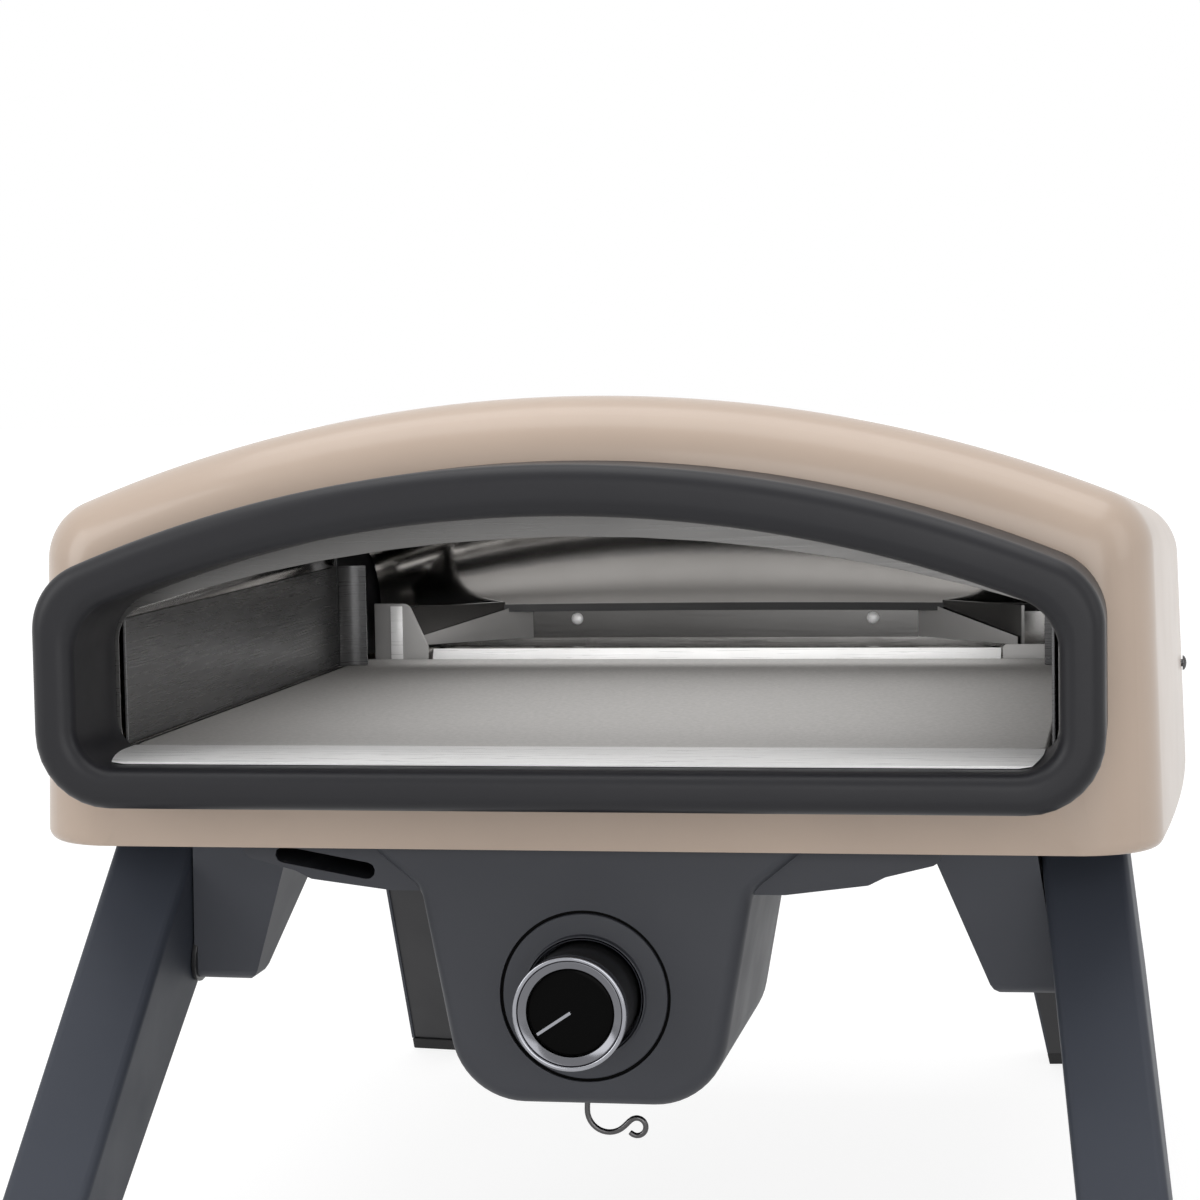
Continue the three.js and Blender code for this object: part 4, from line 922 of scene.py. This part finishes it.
class OVEN_OT_legs(PieceOperator, bpy.types.Operator):
    """Dress the four folding legs with their brackets, bolts, washers and feet"""

    bl_idname = "pizza_oven.legs"
    bl_label = "Folding legs"

    def execute(self, context):
        edge = sizes().casting_edge
        for corner in CORNERS:
            foot_edge = (0.8 if corner.startswith("front") else 3) * MM
            bracket = dress("bracket_" + corner, edge, "bracket", bevel_angle=35, segments=3)
            self.thicken_bracket(bracket, corner)
            dress("leg_" + corner, 0.5 * MM, bevel_angle=50)
            dress("foot_" + corner, foot_edge, bevel_angle=50, segments=4)
            dress("pivot_bolt_" + corner, 0.4 * MM, bevel_angle=50)
            dress("washer_" + corner, 0.4 * MM, "black_plastic", bevel_angle=50)
        for side, sign in SIDES:
            self.leg_web("rear_" + side, sign)
        return {"FINISHED"}

    def thicken_bracket(self, bracket, corner):
        """Moves a bracket's outer wall out, so that it almost meets its leg."""
        wall_inside, wall_outside, moved = -4.2, -1, 2
        sign = -1 if corner.endswith("left") else 1
        x, y, z = FRONT_PIVOT if corner.startswith("front") else REAR_PIVOT
        pivot = at(sign * x, y, z)
        outwards = Vector((sign * math.cos(LEG_TILT), 0, math.sin(LEG_TILT)))
        for vertex in bracket.data.vertices:
            across = (vertex.co - pivot).dot(outwards) / MM
            if wall_inside < across < wall_outside:
                vertex.co += outwards * moved * MM
        bracket.data.update()

    def leg_web(self, corner, sign):
        """A flat sheet that closes the front of a rear leg's channel, from heel to foot pad."""
        edges, heel, foot = (1.5, 39.5), (16, 16), (216, 223)
        taper, inset = 0.124, 12
        pivot_x, pivot_y, pivot_z = REAR_PIVOT
        rows = []
        for ends in (heel, foot):
            row = []
            for across, down in zip(edges, ends):
                out = taper * down - inset
                y = math.sin(REAR_RAKE) * down + math.cos(REAR_RAKE) * out
                z = math.sin(REAR_RAKE) * out - math.cos(REAR_RAKE) * down
                x = sign * across
                turned_x = x * math.cos(LEG_TILT) - sign * z * math.sin(LEG_TILT)
                turned_z = sign * x * math.sin(LEG_TILT) + z * math.cos(LEG_TILT)
                row.append(at(sign * pivot_x + turned_x, pivot_y + y, pivot_z + turned_z))
            rows.append(row)
        web = sheet("web_" + corner, rows, 1.0 * MM)
        finish_piece(web, FINISHES["frame_coat"], "leg_paint", body_name("leg_" + corner))


class OVEN_OT_rear(PieceOperator, bpy.types.Operator):
    """Dress the slotted rear panel and the screws"""

    bl_idname = "pizza_oven.rear"
    bl_label = "Rear panel and screws"

    def execute(self, context):
        dress("rear_panel", 0.3 * MM, bevel_angle=60)
        for node in NODES:
            if node.startswith(("rear_screw", "side_screw")):
                dress(node, 0.2 * MM, "dark_steel", bevel_angle=50)
        return {"FINISHED"}


class OVEN_OT_stage(PieceOperator, bpy.types.Operator):
    """Set the pale floor, the soft studio light and the camera"""

    bl_idname = "pizza_oven.stage"
    bl_label = "Studio stage"

    def execute(self, context):
        self.floor()
        self.world(context)
        self.studio_lamps()
        self.chamber_lamps()
        self.camera(context)
        context.scene.view_settings.view_transform = "Standard"
        return {"FINISHED"}

    def seen(self, tree):
        """One for the rays that see the background, nought for the rays that light the oven."""
        path = node_of(tree, "ShaderNodeLightPath", (-4, 1))
        total = path.outputs["Is Camera Ray"]
        for i, ray in enumerate(("Is Glossy Ray", "Is Transmission Ray")):
            either = node_of(tree, "ShaderNodeMath", (-3 + i, 1), operation="MAXIMUM")
            tree.links.new(total, either.inputs[0])
            tree.links.new(path.outputs[ray], either.inputs[1])
            total = either.outputs[0]
        return total

    def floor(self):
        """A white floor that keeps a faint shadow and fades into the background."""
        clear_selection()
        bpy.ops.mesh.primitive_plane_add(size=60, location=(0, 0, 0))
        floor = bpy.context.object
        floor.name = "white_floor"
        material, tree, plain = shader("white_floor", (0.8, 0.8, 0.8), 0.9, specular=0.1)
        where = node_of(tree, "ShaderNodeTexCoord", (-6, -1))
        far = node_of(tree, "ShaderNodeVectorMath", (-5, -1), operation="LENGTH")
        glow = node_of(tree, "ShaderNodeMapRange", (-4, -1), {
            "From Min": 0.8, "From Max": 3.0, "To Min": 0.84, "To Max": 1.0})
        white = node_of(tree, "ShaderNodeEmission", (-2, -1), {"Color": WHITE})
        matt = node_of(tree, "ShaderNodeBsdfDiffuse", (-2, -2), {"Color": (0.28, 0.28, 0.28, 1)})
        both = node_of(tree, "ShaderNodeAddShader", (0, -1))
        mix = node_of(tree, "ShaderNodeMixShader", (1, 0))
        tree.links.new(where.outputs["Object"], far.inputs[0])
        tree.links.new(far.outputs["Value"], glow.inputs["Value"])
        tree.links.new(glow.outputs["Result"], white.inputs["Strength"])
        tree.links.new(white.outputs["Emission"], both.inputs[0])
        tree.links.new(matt.outputs["BSDF"], both.inputs[1])
        tree.links.new(self.seen(tree), mix.inputs["Fac"])
        tree.links.new(plain.outputs["BSDF"], mix.inputs[1])
        tree.links.new(both.outputs["Shader"], mix.inputs[2])
        tree.links.new(mix.outputs["Shader"], tree.nodes["Material Output"].inputs["Surface"])
        floor.data.materials.append(material)

    def world(self, context):
        """White where the camera sees it, and a weaker white light on the oven."""
        world = bpy.data.worlds.new("studio")
        world.use_nodes = True
        context.scene.world = world
        tree = world.node_tree
        light = tree.nodes["Background"]
        light.inputs["Color"].default_value = WHITE
        light.inputs["Strength"].default_value = 0.47
        white = node_of(tree, "ShaderNodeBackground", (0, -1),
                        {"Color": WHITE, "Strength": 1.0})
        mix = node_of(tree, "ShaderNodeMixShader", (1, 0))
        tree.links.new(self.seen(tree), mix.inputs["Fac"])
        tree.links.new(light.outputs["Background"], mix.inputs[1])
        tree.links.new(white.outputs["Background"], mix.inputs[2])
        tree.links.new(mix.outputs["Shader"], tree.nodes["World Output"].inputs["Surface"])

    def area_lamp(self, name, place, aim, size, power):
        """A rectangular lamp that faces a point."""
        bpy.ops.object.light_add(type="AREA", location=place)
        lamp = bpy.context.object
        lamp.name = name
        lamp.data.shape = "RECTANGLE"
        lamp.data.size, lamp.data.size_y = size
        lamp.data.energy = power
        lamp.rotation_euler = (aim - place).to_track_quat("-Z", "Y").to_euler()
        return lamp

    def studio_lamps(self):
        """Soft lamps round the oven, placed in metres of the frame."""
        middle = Vector((0, 0, 0.3))
        for name, place, size, power in (
            ("overhead_softbox", (0.0, -0.3, 2.2), (2.6, 1.6), 27),
            ("left_softbox", (-2.0, -1.6, 1.3), (1.2, 1.8), 20),
            ("right_softbox", (2.2, -1.0, 1.2), (1.0, 1.8), 7),
            ("front_fill", (0.6, -3.0, 0.8), (2.0, 1.4), 20),
        ):
            self.area_lamp(name, Vector(place), middle, size, power)

    def chamber_lamps(self):
        """Weak unseen lamps that stand in for the light that the mouth lets in."""
        for name, place, aim, size, power in (
            ("chamber_light", (17, 235, 370), (17, 235, 0), (0.335, 0.33), 0.37),
            ("burner_light", (0, 470, 324), (0, 504, 290), (0.36, 0.012), 0.085),
            ("lip_light", (0, 42, 332), (0, 12, 287), (0.36, 0.012), 0.03),
        ):
            lamp = self.area_lamp(name, at(*place), at(*aim), size, power)
            lamp.visible_glossy = lamp.visible_camera = False

    def camera(self, context):
        """The photograph's view: right of the middle and a little above."""
        yaw, pitch, roll = 0.1804, 0.0739, -0.0181
        ahead = Vector((
            -math.sin(yaw) * math.cos(pitch), math.cos(yaw) * math.cos(pitch), -math.sin(pitch)))
        level = Vector((math.cos(yaw), math.sin(yaw), 0))
        above = level.cross(ahead)
        right = math.cos(roll) * level + math.sin(roll) * above
        above = math.cos(roll) * above - math.sin(roll) * level
        bpy.ops.object.camera_add()
        camera = context.object
        camera.name = "photo_camera"
        camera.data.sensor_width = 36
        camera.data.lens = 90
        axes = Matrix((right, above, -ahead)).transposed().to_4x4()
        camera.matrix_world = Matrix.Translation(at(261.5, -1305, 460.3)) @ axes
        context.scene.camera = camera


class OVEN_PT_panel(bpy.types.Panel):
    """Lists the steps that build the oven"""

    bl_idname = "OVEN_PT_panel"
    bl_label = "Pizza oven"
    bl_space_type = "VIEW_3D"
    bl_region_type = "UI"
    bl_category = "Pizza oven"

    def draw(self, context):
        for group in (sizes(), colours()):
            for name in group.bl_rna.properties.keys():
                if name not in ("rna_type", "name"):
                    self.layout.prop(group, name)
        for step in STEPS:
            self.layout.operator(step.bl_idname)


STEPS = (OVEN_OT_body, OVEN_OT_mouth, OVEN_OT_chamber, OVEN_OT_underside, OVEN_OT_knob,
         OVEN_OT_legs, OVEN_OT_rear, OVEN_OT_stage)
CLASSES = (PizzaOvenSizes, PizzaOvenColours, *STEPS, OVEN_PT_panel)


def register():
    for cls in CLASSES:
        bpy.utils.register_class(cls)
    bpy.types.Scene.pizza_oven_sizes = bpy.props.PointerProperty(type=PizzaOvenSizes)
    bpy.types.Scene.pizza_oven_colours = bpy.props.PointerProperty(type=PizzaOvenColours)


def unregister():
    del bpy.types.Scene.pizza_oven_colours
    del bpy.types.Scene.pizza_oven_sizes
    for cls in reversed(CLASSES):
        bpy.utils.unregister_class(cls)


def main():
    """Runs every step in order."""
    register()
    make_finishes()
    for step in (bpy.ops.pizza_oven.body, bpy.ops.pizza_oven.mouth, bpy.ops.pizza_oven.chamber,
                 bpy.ops.pizza_oven.underside, bpy.ops.pizza_oven.knob, bpy.ops.pizza_oven.legs,
                 bpy.ops.pizza_oven.rear, bpy.ops.pizza_oven.stage):
        if step() != {"FINISHED"}:
            raise RuntimeError("a step of the oven did not finish")


if __name__ == "__main__":
    main()
